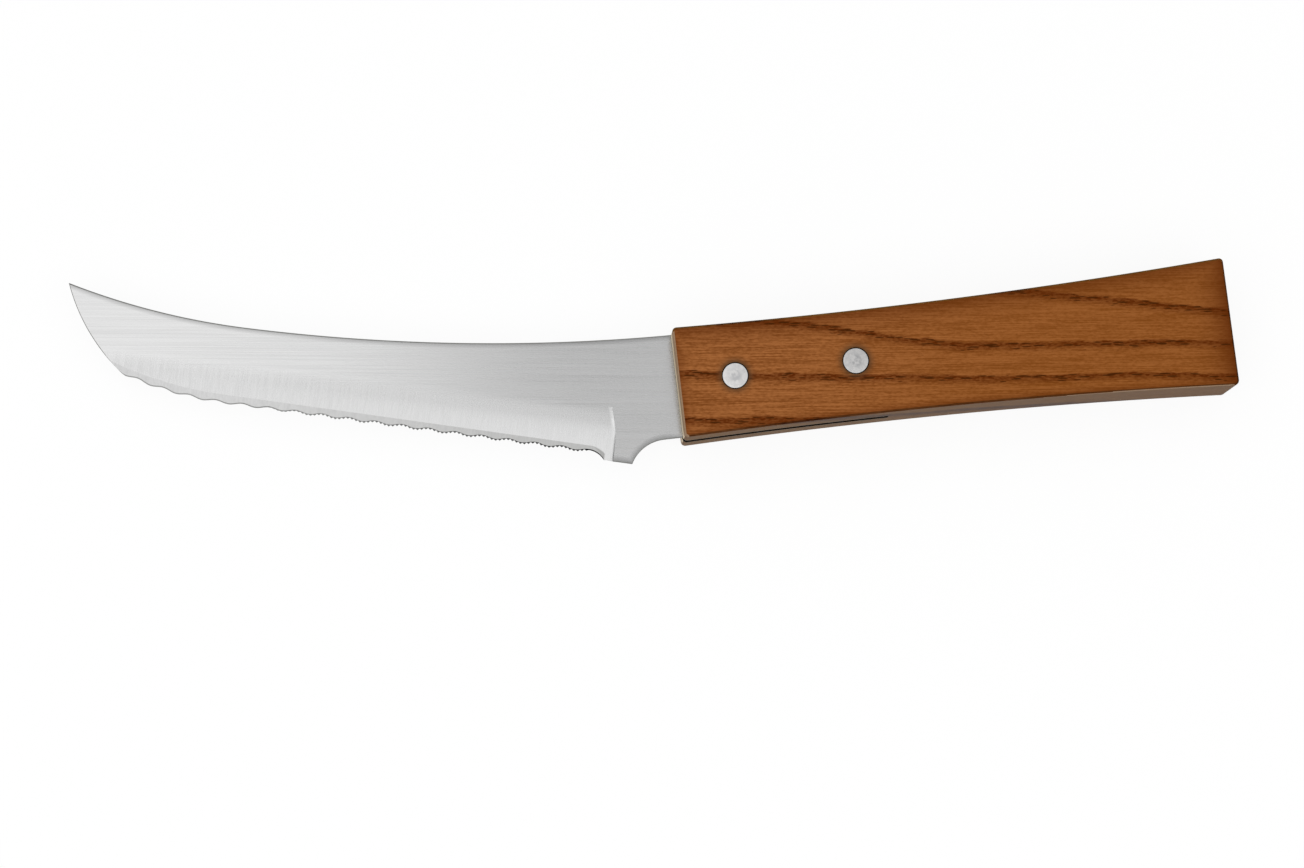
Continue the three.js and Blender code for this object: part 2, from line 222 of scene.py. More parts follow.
def cut(piece, tool, finish):
    """Takes a tool's solid away from a piece. The cut faces get the finish that the tool leaves."""
    tool.data.materials.append(finish)
    make_active(piece)
    modifier = piece.modifiers.new(tool.name, "BOOLEAN")
    modifier.operation = "DIFFERENCE"
    modifier.solver = "MANIFOLD"
    modifier.material_mode = "TRANSFER"
    modifier.object = tool
    bpy.ops.object.modifier_apply(modifier=modifier.name)
    bpy.data.objects.remove(tool)
    print(piece.name, "now has", len(piece.data.polygons), "faces")


# %% [markdown]
# ## Nodes in one line
#
# Every finish is a small graph of nodes. One helper adds a node: its inputs are values or sockets
# to link, and its settings are properties. The shader at the end is fed in the same way. Colours
# are written as they look on a screen, from 0 to 255, and are turned into the linear values that
# Blender computes with.

# %% Helpers for finishes


def screen(red, green, blue):
    """A screen colour as linear RGBA."""
    def linear(value):
        share = value / 255
        return share / 12.92 if share <= 0.04045 else ((share + 0.055) / 1.055) ** 2.4
    return (linear(red), linear(green), linear(blue), 1.0)


def feed(tree, node, inputs):
    """Sets inputs of a node, given by name or number, to values or links them to sockets."""
    for key, value in inputs.items():
        if isinstance(value, bpy.types.NodeSocket):
            tree.links.new(value, node.inputs[key])
        else:
            node.inputs[key].default_value = value


def add(tree, kind, inputs, **settings):
    """A node of one kind, with its inputs and its settings."""
    node = tree.nodes.new("ShaderNode" + kind)
    for name, value in settings.items():
        setattr(node, name, value)
    feed(tree, node, inputs)
    return node


def sums(tree, operation, first, second=0.0):
    """One step of arithmetic on numbers."""
    return add(tree, "Math", {0: first, 1: second}, operation=operation).outputs[0]


def mix_colours(tree, share, first, second, blend="MIX"):
    """Goes from the first colour to the second as the share goes from 0 to 1."""
    node = add(tree, "Mix", {0: share, 6: first, 7: second}, data_type="RGBA", blend_type=blend)
    return node.outputs[2]


def mix_numbers(tree, share, first, second):
    """Goes from the first number to the second as the share goes from 0 to 1."""
    return add(tree, "Mix", {0: share, 2: first, 3: second}, data_type="FLOAT").outputs[0]


def ramp(tree, value, low, high, to_low=0.0, to_high=1.0, smooth=True):
    """Maps a value from one range to another, and holds it at the ends."""
    inputs = {"Value": value, "From Min": low, "From Max": high, "To Min": to_low, "To Max": to_high}
    kind = "SMOOTHSTEP" if smooth else "LINEAR"
    return add(tree, "MapRange", inputs, interpolation_type=kind).outputs["Result"]


def new_finish(name):
    """A material with its shader, ready for sockets to be set or linked."""
    finish = bpy.data.materials.new(name)
    finish.use_nodes = True
    shader = finish.node_tree.nodes["Principled BSDF"]
    return finish, finish.node_tree, shader


def relief(tree, height, depth, strength):
    """Bumps of a depth in millimetres, for the Normal socket of a shader."""
    inputs = {"Height": height, "Distance": depth * MM, "Strength": strength}
    return add(tree, "Bump", inputs).outputs[0]


def millimetres(tree, turn=0.0, stretch=(1.0, 1.0, 1.0)):
    """Object coordinates in millimetres from the datum, turned about Z and then stretched."""
    place = add(tree, "TexCoord", {}).outputs["Object"]
    centred = add(tree, "VectorMath", {0: place, 1: datum}, operation="SUBTRACT").outputs[0]
    turned = add(tree, "VectorRotate", {"Vector": centred, "Angle": turn}, rotation_type="Z_AXIS")
    scale = tuple(share / MM for share in stretch)
    return add(tree, "VectorMath", {0: turned.outputs[0], 1: scale}, operation="MULTIPLY").outputs[0]


def axes_of(tree, place):
    """The X, Y and Z of a place."""
    return add(tree, "SeparateXYZ", {0: place}).outputs


def noise(tree, place, scale=1.0, detail=2.0, roughness=0.5):
    inputs = {"Vector": place, "Scale": scale, "Detail": detail, "Roughness": roughness}
    return add(tree, "TexNoise", inputs).outputs[0]


print("mid grey on the screen is", round(screen(128, 128, 128)[0], 3), "in linear light")

# %% [markdown]
# ## The drawing of the blade
#
# The spine is two arcs that sweep up to the tip, the front edge is one arc, and a round choil leads
# from the heel to the neck. The cutting edge runs straight from the heel and then bends up to the
# front. The grind starts on a line a little flatter than the edge. The finishes follow these
# lines too, so the drawing comes first.

# %% Blade sizes
BLADE_THICKNESS = 1.5
BLADE_LENGTH = 121.5
SPINE_ABOVE_AXIS = 10.82
SPINE_RISE = math.radians(1.1)
SPINE_RADIUS = 401.0
SPINE_TIP_RADIUS = 150.0
SPINE_TIP_START = 86.5
FRONT_RADIUS = 39.8
NECK_BELOW_AXIS = 10.5
CHOIL_RADIUS = 8.0
CHOIL_FROM_HANDLE = 3.8
TANG_LENGTH = 41.0
TANG_END_HEIGHT = 16.0
EDGE_ANGLE = math.radians(14.07)
EDGE_LENGTH = 97.1
EDGE_STRAIGHT = 75.0
EDGE_TIP_RADIUS = 75.0
HEEL_DROP = 1.38
GRIND_HEIGHT = 9.25
GRIND_ANGLE = math.radians(13.3)
last_gullet = spot(-19.6, -11.17)


def towards_tip(angle):
    """The way along the blade, on a line that climbs at an angle."""
    return Vector((-math.cos(angle), math.sin(angle), 0.0))


def into_blade(angle):
    """The way up, at right angles to such a line."""
    return Vector((math.sin(angle), math.cos(angle), 0.0))


bend = last_gullet + towards_tip(EDGE_ANGLE) * EDGE_STRAIGHT
bend_centre = bend + into_blade(EDGE_ANGLE) * EDGE_TIP_RADIUS


def edge_direction(run):
    """The way up into the blade, at a run along the edge counted from the last gullet."""
    return into_blade(EDGE_ANGLE + max(0.0, run - EDGE_STRAIGHT) / EDGE_TIP_RADIUS)


def edge_spot(run, height=0.0):
    """A place at a height above the mean edge line."""
    up = edge_direction(run)
    if run <= EDGE_STRAIGHT:
        return last_gullet + towards_tip(EDGE_ANGLE) * run + up * height
    return bend_centre + up * (height - EDGE_TIP_RADIUS)


def on_arc(centre, radius, x):
    """The lower place of a circle at an x."""
    return spot(x, centre.y - math.sqrt(radius ** 2 - (x - centre.x) ** 2))


spine_root = spot(0.0, SPINE_ABOVE_AXIS)
spine_centre = spine_root + into_blade(SPINE_RISE) * SPINE_RADIUS
spine_bend = on_arc(spine_centre, SPINE_RADIUS, -SPINE_TIP_START)
tip_centre = spine_bend + (spine_centre - spine_bend).normalized() * SPINE_TIP_RADIUS
tip = on_arc(tip_centre, SPINE_TIP_RADIUS, -BLADE_LENGTH)
front_end = edge_spot(EDGE_LENGTH)
chord = front_end - tip
inward = Vector((-chord.y, chord.x, 0.0)).normalized()
from_chord = math.sqrt(FRONT_RADIUS ** 2 - chord.length_squared / 4)
front_centre = (tip + front_end) / 2 + inward * from_chord

# The heel lies where a line below the edge meets the round of the choil.
choil_centre = spot(-CHOIL_FROM_HANDLE, -NECK_BELOW_AXIS - CHOIL_RADIUS)
heel_line = edge_spot(0.0, -HEEL_DROP)
offset = heel_line - choil_centre
lean = offset.dot(towards_tip(EDGE_ANGLE))
heel_reach = math.sqrt(lean ** 2 - offset.length_squared + CHOIL_RADIUS ** 2) - lean
heel = heel_line + towards_tip(EDGE_ANGLE) * heel_reach
grind_start = last_gullet + into_blade(EDGE_ANGLE) * GRIND_HEIGHT
print("tip", tip, "front end", front_end, "heel", heel)

# %% [markdown]
# ## The steel
#
# Each finish on the blade comes from one step of the work, and all are the same metal with other
# marks. A belt leaves long thin marks, which noise gives when it is drawn out, and metal with such
# marks smears its reflections across them, which is the anisotropy of the shader. Its Tangent
# socket takes the direction of the smear.

# %% What a belt leaves on steel
BRUSHING = {"turn": math.radians(6.7), "length": 28.0, "width": 0.14}
GRINDING = {"turn": EDGE_ANGLE + math.pi / 2, "length": 14.0, "width": 0.22}
BEVELLING = {"turn": EDGE_ANGLE + math.pi / 2, "length": 4.0, "width": 0.3}
TUMBLING = {"turn": 0.0, "length": 1.0, "width": 0.4}
BROADER = 4
BROAD_MARK_SHARE = 0.25
NOISE_RANGE = (0.3, 0.7)
GLOSS_SWING = 0.05


def belt_marks(tree, belt):
    """Fine marks on broader ones, along a direction turned from the handle axis."""
    fine_stretch = (1 / belt["length"], 1 / belt["width"], 1 / belt["width"])
    broad_stretch = tuple(share / BROADER for share in fine_stretch)
    fine = noise(tree, millimetres(tree, belt["turn"], fine_stretch), detail=3.0, roughness=0.6)
    broad = noise(tree, millimetres(tree, belt["turn"], broad_stretch))
    return mix_numbers(tree, BROAD_MARK_SHARE, fine, broad)


def smear_across(tree, belt):
    """The direction across the marks."""
    parts = {"X": math.sin(belt["turn"]), "Y": math.cos(belt["turn"]), "Z": 0.0}
    return add(tree, "CombineXYZ", parts).outputs[0]


def set_steel(tree, shader, colour, marks, smear, roughness, contrast, depth, anisotropy=0.0):
    """Lets the marks vary colour, roughness and relief, and sets the smeared gloss."""
    shade = ramp(tree, marks, *NOISE_RANGE, 1 - contrast, 1.0)
    gloss = ramp(tree, marks, *NOISE_RANGE, roughness + GLOSS_SWING, roughness - GLOSS_SWING)
    feed(tree, shader, {
        "Base Color": mix_colours(tree, 1.0, colour, shade, "MULTIPLY"),
        "Roughness": gloss,
        "Normal": relief(tree, marks, depth, strength=1.0),
        "Tangent": smear,
        "Metallic": 1.0,
        "Anisotropic": anisotropy,
    })


print("the brushing runs at", round(math.degrees(BRUSHING["turn"]), 1), "degrees")

# %% [markdown]
# The flats are brushed along the blade. At the spine, the choil and the heel a narrow band is painted
# darker, as painted shade where the rim turns away from the light. How far a place lies inside these
# rims comes from the arcs and the line of the drawing.

# %% Brushed flats
STEEL = screen(184, 184, 184)
RIM_PAINTED_SHADE_BAND = 1.2
RIM_PAINTED_SHADE_TONE = 0.55


def distance_to(tree, place, centre):
    return add(tree, "VectorMath", {0: place, 1: centre}, operation="DISTANCE").outputs["Value"]


def outside(tree, place, centre, radius):
    """How far a place lies outside an arc of the drawing."""
    return sums(tree, "SUBTRACT", distance_to(tree, place, centre), radius)


def along_from(tree, place, start, direction):
    """How far a place lies from a start, counted along a direction."""
    reach = add(tree, "VectorMath", {0: place, 1: direction}, operation="DOT_PRODUCT").outputs["Value"]
    return sums(tree, "SUBTRACT", reach, start.dot(direction))


def inside_rims(tree):
    """The least distance to the spine, which is two arcs, and to the choil and the heel."""
    place = millimetres(tree)
    behind_bend = sums(tree, "GREATER_THAN", axes_of(tree, place)[0], spine_bend.x)
    under_tip_arc = outside(tree, place, tip_centre, SPINE_TIP_RADIUS)
    under_spine_arc = outside(tree, place, spine_centre, SPINE_RADIUS)
    under_spine = mix_numbers(tree, behind_bend, under_tip_arc, under_spine_arc)
    over_choil = outside(tree, place, choil_centre, CHOIL_RADIUS)
    over_heel = along_from(tree, place, heel, into_blade(EDGE_ANGLE))
    return sums(tree, "MINIMUM", under_spine, sums(tree, "MINIMUM", over_choil, over_heel))


def brushed_finish():
    finish, tree, shader = new_finish("brushed_steel")
    # Inside the rims the flat is painted darker, as painted shade.
    tone = ramp(tree, inside_rims(tree), 0.0, RIM_PAINTED_SHADE_BAND, RIM_PAINTED_SHADE_TONE, 1.0, smooth=False)
    colour = mix_colours(tree, 1.0, STEEL, tone, "MULTIPLY")
    set_steel(
        tree, shader, colour, belt_marks(tree, BRUSHING), smear_across(tree, BRUSHING),
        roughness=0.26, contrast=0.045, depth=0.0003, anisotropy=0.8)
    return finish


brushed_steel = brushed_finish()
print("finish:", brushed_steel.name)

# %% [markdown]
# The zone above the edge is ground across, from the edge up. The wheel leaves the flat without a
# step, so its marks take over slowly: at the grind line the finish is still the brushed one, and
# further down all marks run across. Only in the plunge at the heel do they start at once, on a line
# that leans with the wheel, and a highlight is painted on the upper part of it. Where the two kinds
# of marks cross, the steel is painted lighter, as painted light. Round the last gullet the bevelling
# wheel leaves a narrow facet. It is too thin to need a form of its own, so its finish and its shade
# are painted here as a grey band.

# %% Ground zone
GROUND_STEEL = screen(181, 181, 181)
CROSSING_PAINTED_LIGHT = screen(188, 188, 188)
PLUNGE_PAINTED_HIGHLIGHT = screen(197, 197, 197)
GULLET_PAINTED_SHADE = screen(140, 140, 139)
GRIND_FADE = 5.5
PLUNGE_AT = -2.75
PLUNGE_FADE = 0.6
PLUNGE_LEAN = 0.27
PLUNGE_HIGHLIGHT_TO = 4.5
WAVE_DEPTH = 0.46
LAST_GULLET_RADIUS = 4.4
GULLET_BAND = 1.1
GULLET_BAND_END = 3.6
SOFT_RIM = 0.3

gullet_centre = edge_spot(0.0, WAVE_DEPTH / 2 - LAST_GULLET_RADIUS)


def gullet_band(tree, place):
    """The narrow band round the last gullet, where the bevelling wheel's facet and its shade are
    painted.
    """
    from_edge = outside(tree, place, gullet_centre, LAST_GULLET_RADIUS)
    behind = along_from(tree, place, last_gullet, -towards_tip(EDGE_ANGLE))
    band = ramp(tree, from_edge, GULLET_BAND - SOFT_RIM, GULLET_BAND, 1.0, 0.0)
    starts = ramp(tree, behind, 0.0, 2 * SOFT_RIM)
    ends = ramp(tree, behind, GULLET_BAND_END - SOFT_RIM, GULLET_BAND_END, 1.0, 0.0)
    return sums(tree, "MULTIPLY", band, sums(tree, "MULTIPLY", starts, ends))


def ground_finish():
    finish, tree, shader = new_finish("ground_steel")
    place = millimetres(tree)
    below = along_from(tree, place, grind_start, -into_blade(GRIND_ANGLE))
    run = along_from(tree, place, grind_start, towards_tip(GRIND_ANGLE))
    brushed = ramp(tree, below, 0.0, GRIND_FADE, 1.0, 0.0, smooth=False)
    brushed = sums(tree, "MULTIPLY", brushed, brushed)
    from_wall = sums(tree, "ADD", run, sums(tree, "MULTIPLY", below, PLUNGE_LEAN))
    in_plunge = ramp(tree, from_wall, PLUNGE_AT - PLUNGE_FADE, PLUNGE_AT, 1.0, 0.0)
    share = sums(tree, "MAXIMUM", sums(tree, "SUBTRACT", 1.0, brushed), in_plunge)
    colour = mix_colours(tree, share, STEEL, GROUND_STEEL)
    # Where both kinds of marks cross evenly this product is a quarter, so it is taken four times.
    # There the steel is painted lighter, as painted light.
    crossing = sums(tree, "MULTIPLY", share, sums(tree, "SUBTRACT", 1.0, share))
    colour = mix_colours(tree, sums(tree, "MULTIPLY", crossing, 4.0), colour, CROSSING_PAINTED_LIGHT)
    # A highlight is painted on the upper part of the plunge.
    highlight_share = ramp(tree, below, PLUNGE_HIGHLIGHT_TO / 2, PLUNGE_HIGHLIGHT_TO, 1.0, 0.0)
    colour = mix_colours(tree, sums(tree, "MULTIPLY", in_plunge, highlight_share), colour, PLUNGE_PAINTED_HIGHLIGHT)
    colour = mix_colours(tree, gullet_band(tree, place), colour, GULLET_PAINTED_SHADE)
    marks = mix_numbers(tree, share, belt_marks(tree, BRUSHING), belt_marks(tree, GRINDING))
    smear = mix_colours(tree, share, smear_across(tree, BRUSHING), smear_across(tree, GRINDING))
    set_steel(
        tree, shader, colour, marks, smear,
        roughness=0.26, contrast=0.015, depth=0.00005, anisotropy=0.8)
    return finish


ground_steel = ground_finish()
print("finish:", ground_steel.name)

# %% [markdown]
# The small faces are simpler: the stamped outline is dull, its tumbled corners are a little
# brighter, and the tang, which shows only through the slot, is painted dark as shade. The bevel and
# the very edge are painted darker towards the heel, as shade on the teeth, and the very edge is a
# painted dark line of shade.

# %% Bevel, edge, outline, corners and tang
BEVEL_AT_TIP = screen(177, 177, 177)
BEVEL_SHADE_AT_HEEL = screen(157, 157, 156)
EDGE_AT_TIP = screen(165, 165, 164)
EDGE_SHADE_AT_HEEL = screen(24, 24, 23)
STAMPED_STEEL = screen(82, 82, 80)
ROUNDED_STEEL = screen(140, 140, 138)
TANG_PAINTED_SHADE = screen(30, 29, 28)
PLAIN_EDGE_AT = -95.0
DARK_EDGE_AT = -20.0


def plain_finish(name, at_tip, at_heel, belt, **look):
    """One kind of marks on a colour that changes along the blade."""
    finish, tree, shader = new_finish(name)
    x = axes_of(tree, millimetres(tree))[0]
    share = ramp(tree, x, PLAIN_EDGE_AT, DARK_EDGE_AT, smooth=False)
    colour = mix_colours(tree, share, at_tip, at_heel)
    set_steel(tree, shader, colour, belt_marks(tree, belt), smear_across(tree, belt), **look)
    return finish


bevel_steel = plain_finish(
    "bevel_steel", BEVEL_AT_TIP, BEVEL_SHADE_AT_HEEL, BEVELLING,
    roughness=0.32, contrast=0.06, depth=0.0004, anisotropy=0.3)
# The very edge is painted dark, most towards the heel, as painted shade along the teeth.
edge_painted_shade = plain_finish(
    "edge_painted_shade", EDGE_AT_TIP, EDGE_SHADE_AT_HEEL, TUMBLING,
    roughness=0.4, contrast=0.1, depth=0.001)
stamped_steel = plain_finish(
    "stamped_steel", STAMPED_STEEL, STAMPED_STEEL, TUMBLING,
    roughness=0.5, contrast=0.2, depth=0.01)
rounded_steel = plain_finish(
    "rounded_steel", ROUNDED_STEEL, ROUNDED_STEEL, TUMBLING,
    roughness=0.4, contrast=0.1, depth=0.002)
# The tang is painted nearly black, as the shade inside the slot.
tang_steel_painted_shade = plain_finish(
    "tang_steel_painted_shade", TANG_PAINTED_SHADE, TANG_PAINTED_SHADE, TUMBLING,
    roughness=0.6, contrast=0.2, depth=0.01)
small_faces = (bevel_steel, edge_painted_shade, stamped_steel, rounded_steel, tang_steel_painted_shade)
print("finishes:", [finish.name for finish in small_faces])

# %% [markdown]
# ## The blank
#
# The blade starts as a blank stamped from 1.5 mm sheet. It could be a plane pushed into shape, but
# then its arcs would only be close. Drawn with the pencil, every arc has its real radius. The tang
# behind the neck ends up inside the handle.

# %% Draw the blank and give it its thickness
LONG_ARC = 48
SHORT_ARC = 16
LOWER_SIDE_START = 5.0

pencil = Pencil("blade_steel", spot(0.0, -NECK_BELOW_AXIS))
pencil.line_to(spot(TANG_LENGTH, -TANG_END_HEIGHT / 2))
pencil.line_to(spot(TANG_LENGTH, TANG_END_HEIGHT / 2))
pencil.line_to(spine_root)
pencil.arc_to(spine_centre, spine_bend, LONG_ARC)
pencil.arc_to(tip_centre, tip, LONG_ARC)
pencil.arc_to(front_centre, front_end, LONG_ARC)
pencil.line_to(edge_spot(EDGE_LENGTH - LOWER_SIDE_START, -HEEL_DROP))
pencil.arc_to(bend_centre, edge_spot(EDGE_STRAIGHT, -HEEL_DROP), SHORT_ARC)
pencil.line_to(heel)
pencil.arc_to(choil_centre, spot(-CHOIL_FROM_HANDLE, -NECK_BELOW_AXIS), SHORT_ARC)
pencil.line_to(spot(0.0, -NECK_BELOW_AXIS))
blade = pencil.fill()
thicken(blade, BLADE_THICKNESS, (brushed_steel, stamped_steel, rounded_steel, tang_steel_painted_shade))
print("blank:", len(blade.data.vertices), "corners")

# %% [markdown]
# The press leaves the outline dull and its corners sharp. A turn in the tumbling drum breaks the
# corners, and that thin rounding draws the dark line along the spine, which is rounded more for the
# finger. A Bevel modifier does the same, with a bevel weight on each rim for its size. It goes on
# before the grinding, as in the workshop, so the ground zone keeps its crisp rim.

# %% Break the corners of the blank
EDGE_BREAK = 0.15
SPINE_ROUND = 0.3
SPINE_FACING = 0.5
ROUND_STEPS = 5

bpy.ops.object.mode_set(mode="EDIT")
paint(blade, stamped_steel, lambda face: is_side(face.normal))
select_rims(blade, is_side)
bpy.ops.transform.edge_bevelweight(value=EDGE_BREAK / SPINE_ROUND)
select_rims(blade, lambda normal: normal.y > SPINE_FACING)
bpy.ops.transform.edge_bevelweight(value=1.0)
bpy.ops.object.mode_set(mode="OBJECT")
rounding = blade.modifiers.new("rounding", "BEVEL")
rounding.limit_method = "WEIGHT"
rounding.width = SPINE_ROUND * MM
rounding.segments = ROUND_STEPS
rounding.material = finish_index(blade, rounded_steel)
rounding.use_clamp_overlap = False
bpy.ops.object.modifier_apply(modifier=rounding.name)
bpy.ops.object.mode_set(mode="EDIT")
paint(blade, tang_steel_painted_shade, lambda face: face.center.x > in_frame(spine_root).x)
close_edit()
print("blank with broken corners:", len(blade.data.polygons), "faces")

# %% [markdown]
# ## The grind
#
# Both sides are ground thinner towards the edge on one large radius that leaves the flat without a
# step. At the heel the wheel lifts off and leaves a bright curved plunge. The tool is a section of
# the wheel, drawn once, extruded along the blade and then lifted in small steps. One boolean cut
# for each side takes the material away.

# %% Make the grinding tools and cut
GROUND_THICKNESS = 0.45
PLUNGE_PAST_GULLET = 3.76
PLUNGE_REACH = 1.4
PLUNGE_RISE = 0.3
PLUNGE_WALL = 0.2
TOOL_MARGIN = 3.0
GRIND_STEPS = 48
PLUNGE_STEPS = 16

grind_depth = (BLADE_THICKNESS - GROUND_THICKNESS) / 2
grind_radius = (GRIND_HEIGHT ** 2 + grind_depth ** 2) / (2 * grind_depth)


def quarter_arc(steps):
    """The sine and one minus the cosine at even steps of a quarter turn, as reach and rise."""
    for step in range(1, steps + 1):
        turn = math.radians(90) * step / steps
        yield math.sin(turn), 1 - math.cos(turn)


def grind_tool(side):
    """The wheel's path on one side: 1 for the left side, which faces up, and -1 for the right."""
    along = towards_tip(GRIND_ANGLE)
    down = -into_blade(GRIND_ANGLE)
    out = spot(0, 0, side)
    begin = grind_start + along * BLADE_LENGTH + out * (BLADE_THICKNESS / 2)
    width = GRIND_HEIGHT + HEEL_DROP + TOOL_MARGIN
    sweep = math.asin(width / grind_radius)
    lead = sweep / GRIND_STEPS
    axis = down.cross(out)
    centre = begin - out * grind_radius
    first = centre + Matrix.Rotation(lead, 3, axis) @ (out * grind_radius)
    pen = Pencil("grind", first)
    pen.swing(centre, axis, -sweep - lead, GRIND_STEPS + 1)
    rim = pen.place
    pen.line_to(rim + out * (TOOL_MARGIN + out.dot(begin - rim)))
    pen.line_to(pen.place - down * (width + grind_radius * math.sin(lead)))
    pen.line_to(first)
    tool = pen.fill()
    extrude(-along * (BLADE_LENGTH + PLUNGE_PAST_GULLET))
    last = spot(0, 0, 0)
    for reach, rise in quarter_arc(PLUNGE_STEPS):
        lifted = -along * (PLUNGE_REACH * reach) + out * (PLUNGE_RISE * rise)
        extrude(lifted - last)
        last = lifted
    extrude(-along * PLUNGE_WALL + out * (BLADE_THICKNESS - PLUNGE_RISE))
    close_edit()
    return tool


for side in (1, -1):
    cut(blade, grind_tool(side), ground_steel)

# %% [markdown]
# ## Bevel and serration
#
# The left side has a plain bevel. The right side has wave flutes with fine teeth on them, and where
# they meet the bevel the toothed edge appears by itself. Drawing the teeth into the outline would
# give the same silhouette but no flutes behind it. First come the heights along the edge: waves
# all the way, fine teeth that fade out before the bend, and the round of the last gullet, on which
# the edge runs down to the heel.

# %% Heights along the edge
BEVEL_ANGLE = math.radians(16.7)
BEVEL_HEIGHT = 1.1
WAVE_PITCH = 5.5
TOOTH_PITCH = 0.85
TOOTH_DEPTH = 0.5
TOOTHED_LENGTH = 68.0
TOOTH_FADE = 14.0
EDGE_OVERRUN = 6.0

wall_drop = LAST_GULLET_RADIUS - HEEL_DROP - WAVE_DEPTH / 2
heel_run = -math.sqrt(LAST_GULLET_RADIUS ** 2 - wall_drop ** 2)


def gullet_run_down(run):
    """Beside the heel the edge runs down on the round of the last gullet."""
    return 0.0 if run >= 0 else math.sqrt(LAST_GULLET_RADIUS ** 2 - run ** 2) - LAST_GULLET_RADIUS


def wave_height(run):
    """Height of the waves above the mean edge line."""
    return WAVE_DEPTH / 2 * math.cos(2 * math.pi * max(run, 0.0) / WAVE_PITCH) + gullet_run_down(run)


def tooth_height(run, step):
    """Height of the fine teeth above the waves. Every second stop is a point."""
    fade = min(1.0, max(0.0, (TOOTHED_LENGTH - run) / TOOTH_FADE)) if run > 0 else 0.0
    return TOOTH_DEPTH / 2 * fade * (1 if step % 2 == 0 else -1)


def edge_shift(run):
    """How far the edge lies to the left of mid-blade, where the grind leaves more thickness."""
    below = max(0.0, (grind_start - edge_spot(run)).dot(into_blade(GRIND_ANGLE)))
    left_face = BLADE_THICKNESS / 2 - grind_radius + math.sqrt(grind_radius ** 2 - below ** 2)
    return max(0.0, left_face - BEVEL_HEIGHT * math.tan(BEVEL_ANGLE))


def on_bevel(run, height):
    """A stop where the bevel has a height above the mean edge line."""
    return run, height, edge_shift(run) + (height - gullet_run_down(run)) * math.tan(BEVEL_ANGLE)


runs = [heel_run]
while runs[-1] < EDGE_LENGTH + EDGE_OVERRUN:
    runs.append(runs[-1] + TOOTH_PITCH / 2)
runs = [EDGE_STRAIGHT if abs(run - EDGE_STRAIGHT) < TOOTH_PITCH / 4 else run for run in runs]
print("stops along the edge:", len(runs))

# %% [markdown]
# Each tool is a section with one sloping face. It is extruded from stop to stop, straight from the
# heel and then round the bend to the front, and rises and falls on its way. The flutes leave the
# points of the teeth a little long. A last light pass on the left, the micro bevel, takes them off
# again, and its faces are painted dark as a line of shade along the edge.

# %% Make the serrating tools and cut
FLUTE_ANGLE = math.radians(20.0)
MICRO_ANGLE = math.radians(32.0)
MICRO_ABOVE = 0.24
POINT_LOSS = 0.1


def edge_tool(name, slope, side, stops):
    """A tool with a sloping face on one side of the blade, led along stops of run, height and rim."""
    reach = BLADE_THICKNESS / math.tan(slope)
    low = HEEL_DROP + TOOL_MARGIN
    run, height, rim = stops[0]

    def corner(above, out):
        return edge_spot(run, height + above) + spot(0, 0, rim + side * out)

    start = corner(-low, -low * math.tan(slope))
    pen = Pencil(name, start)
    pen.line_to(corner(-low, BLADE_THICKNESS + TOOL_MARGIN))
    pen.line_to(corner(reach, BLADE_THICKNESS + TOOL_MARGIN))
    pen.line_to(corner(reach, BLADE_THICKNESS))
    pen.line_to(start)
    tool = pen.fill()
    for next_run, next_height, next_rim in stops[1:]:
        rise = edge_direction(next_run) * (next_height - height) + spot(0, 0, next_rim - rim)
        if next_run <= EDGE_STRAIGHT:
            extrude(towards_tip(EDGE_ANGLE) * (next_run - run) + rise)
        else:
            bpy.ops.mesh.spin(
                steps=1,
                angle=(next_run - max(run, EDGE_STRAIGHT)) / EDGE_TIP_RADIUS,
                center=in_frame(bend_centre),
                axis=(0, 0, 1),
            )
            bpy.ops.transform.translate(value=rise * MM)
        run, height, rim = next_run, next_height, next_rim
    close_edit()
    return tool


bevel_stops = [
    (run, gullet_run_down(run), edge_shift(run))
    for step, run in enumerate(runs)
    if run < 0 or run == EDGE_STRAIGHT or step % 2 == 0
]
flute_stops = [
    on_bevel(run, wave_height(run) + tooth_height(run, step) - POINT_LOSS)
    for step, run in enumerate(runs)
]
micro_stops = [on_bevel(run, wave_height(run) + MICRO_ABOVE) for run in runs]

for name, angle, side, stops, finish in (
    ("bevel", BEVEL_ANGLE, 1, bevel_stops, bevel_steel),
    ("flutes", FLUTE_ANGLE, -1, flute_stops, bevel_steel),
    ("micro_bevel", MICRO_ANGLE, 1, micro_stops, edge_painted_shade),
):
    cut(blade, edge_tool(name, angle, side, stops), finish)

# %% [markdown]
# ## The drawing of the handle
#
# The handle is one block with two long sides hollowed on a very large radius. Two rivets go
# through it and through the tang. The finish of the wood follows the outline, the slot and the
# holes, so these are measured out first.

# %% Handle and rivet sizes
HANDLE_THICKNESS = 16.0
HANDLE_LENGTH = 114.5
HANDLE_WAIST_ABOVE_AXIS = 10.75
HANDLE_WAIST_BELOW_AXIS = 10.95
HANDLE_WAIST_FROM_FRONT = 36.0
HANDLE_SIDE_RADIUS = 1250.0
HANDLE_CORNER = 0.9
HANDLE_BUTT_BOTTOM_CORNER = 1.1
HANDLE_EDGE_ROUND = 0.4
SAW_RADIUS = 60.0
SAW_OVERRUN = 2.7
TANG_CLEARANCE = 0.4
RIVET_FROM_FRONT = 11.7
RIVET_SPACING = 24.9
REAR_RIVET_RISE = 0.3
RIVET_DIAMETER = 4.9
RIVET_HEAD_FLARE = 0.1
RIVET_HEAD_HEIGHT = 0.8
RIVET_DOME = 0.06
RIVET_INSET = 0.05
RIVET_CLEARANCE = 0.2

rivet_places = [
    spot(RIVET_FROM_FRONT, 0.0),
    spot(RIVET_FROM_FRONT + RIVET_SPACING, REAR_RIVET_RISE),
]


def hollow(x):
    """How far a long side stands out at an x, counted from the waist."""
    from_waist = x - HANDLE_WAIST_FROM_FRONT
    return HANDLE_SIDE_RADIUS - math.sqrt(HANDLE_SIDE_RADIUS ** 2 - from_waist ** 2)


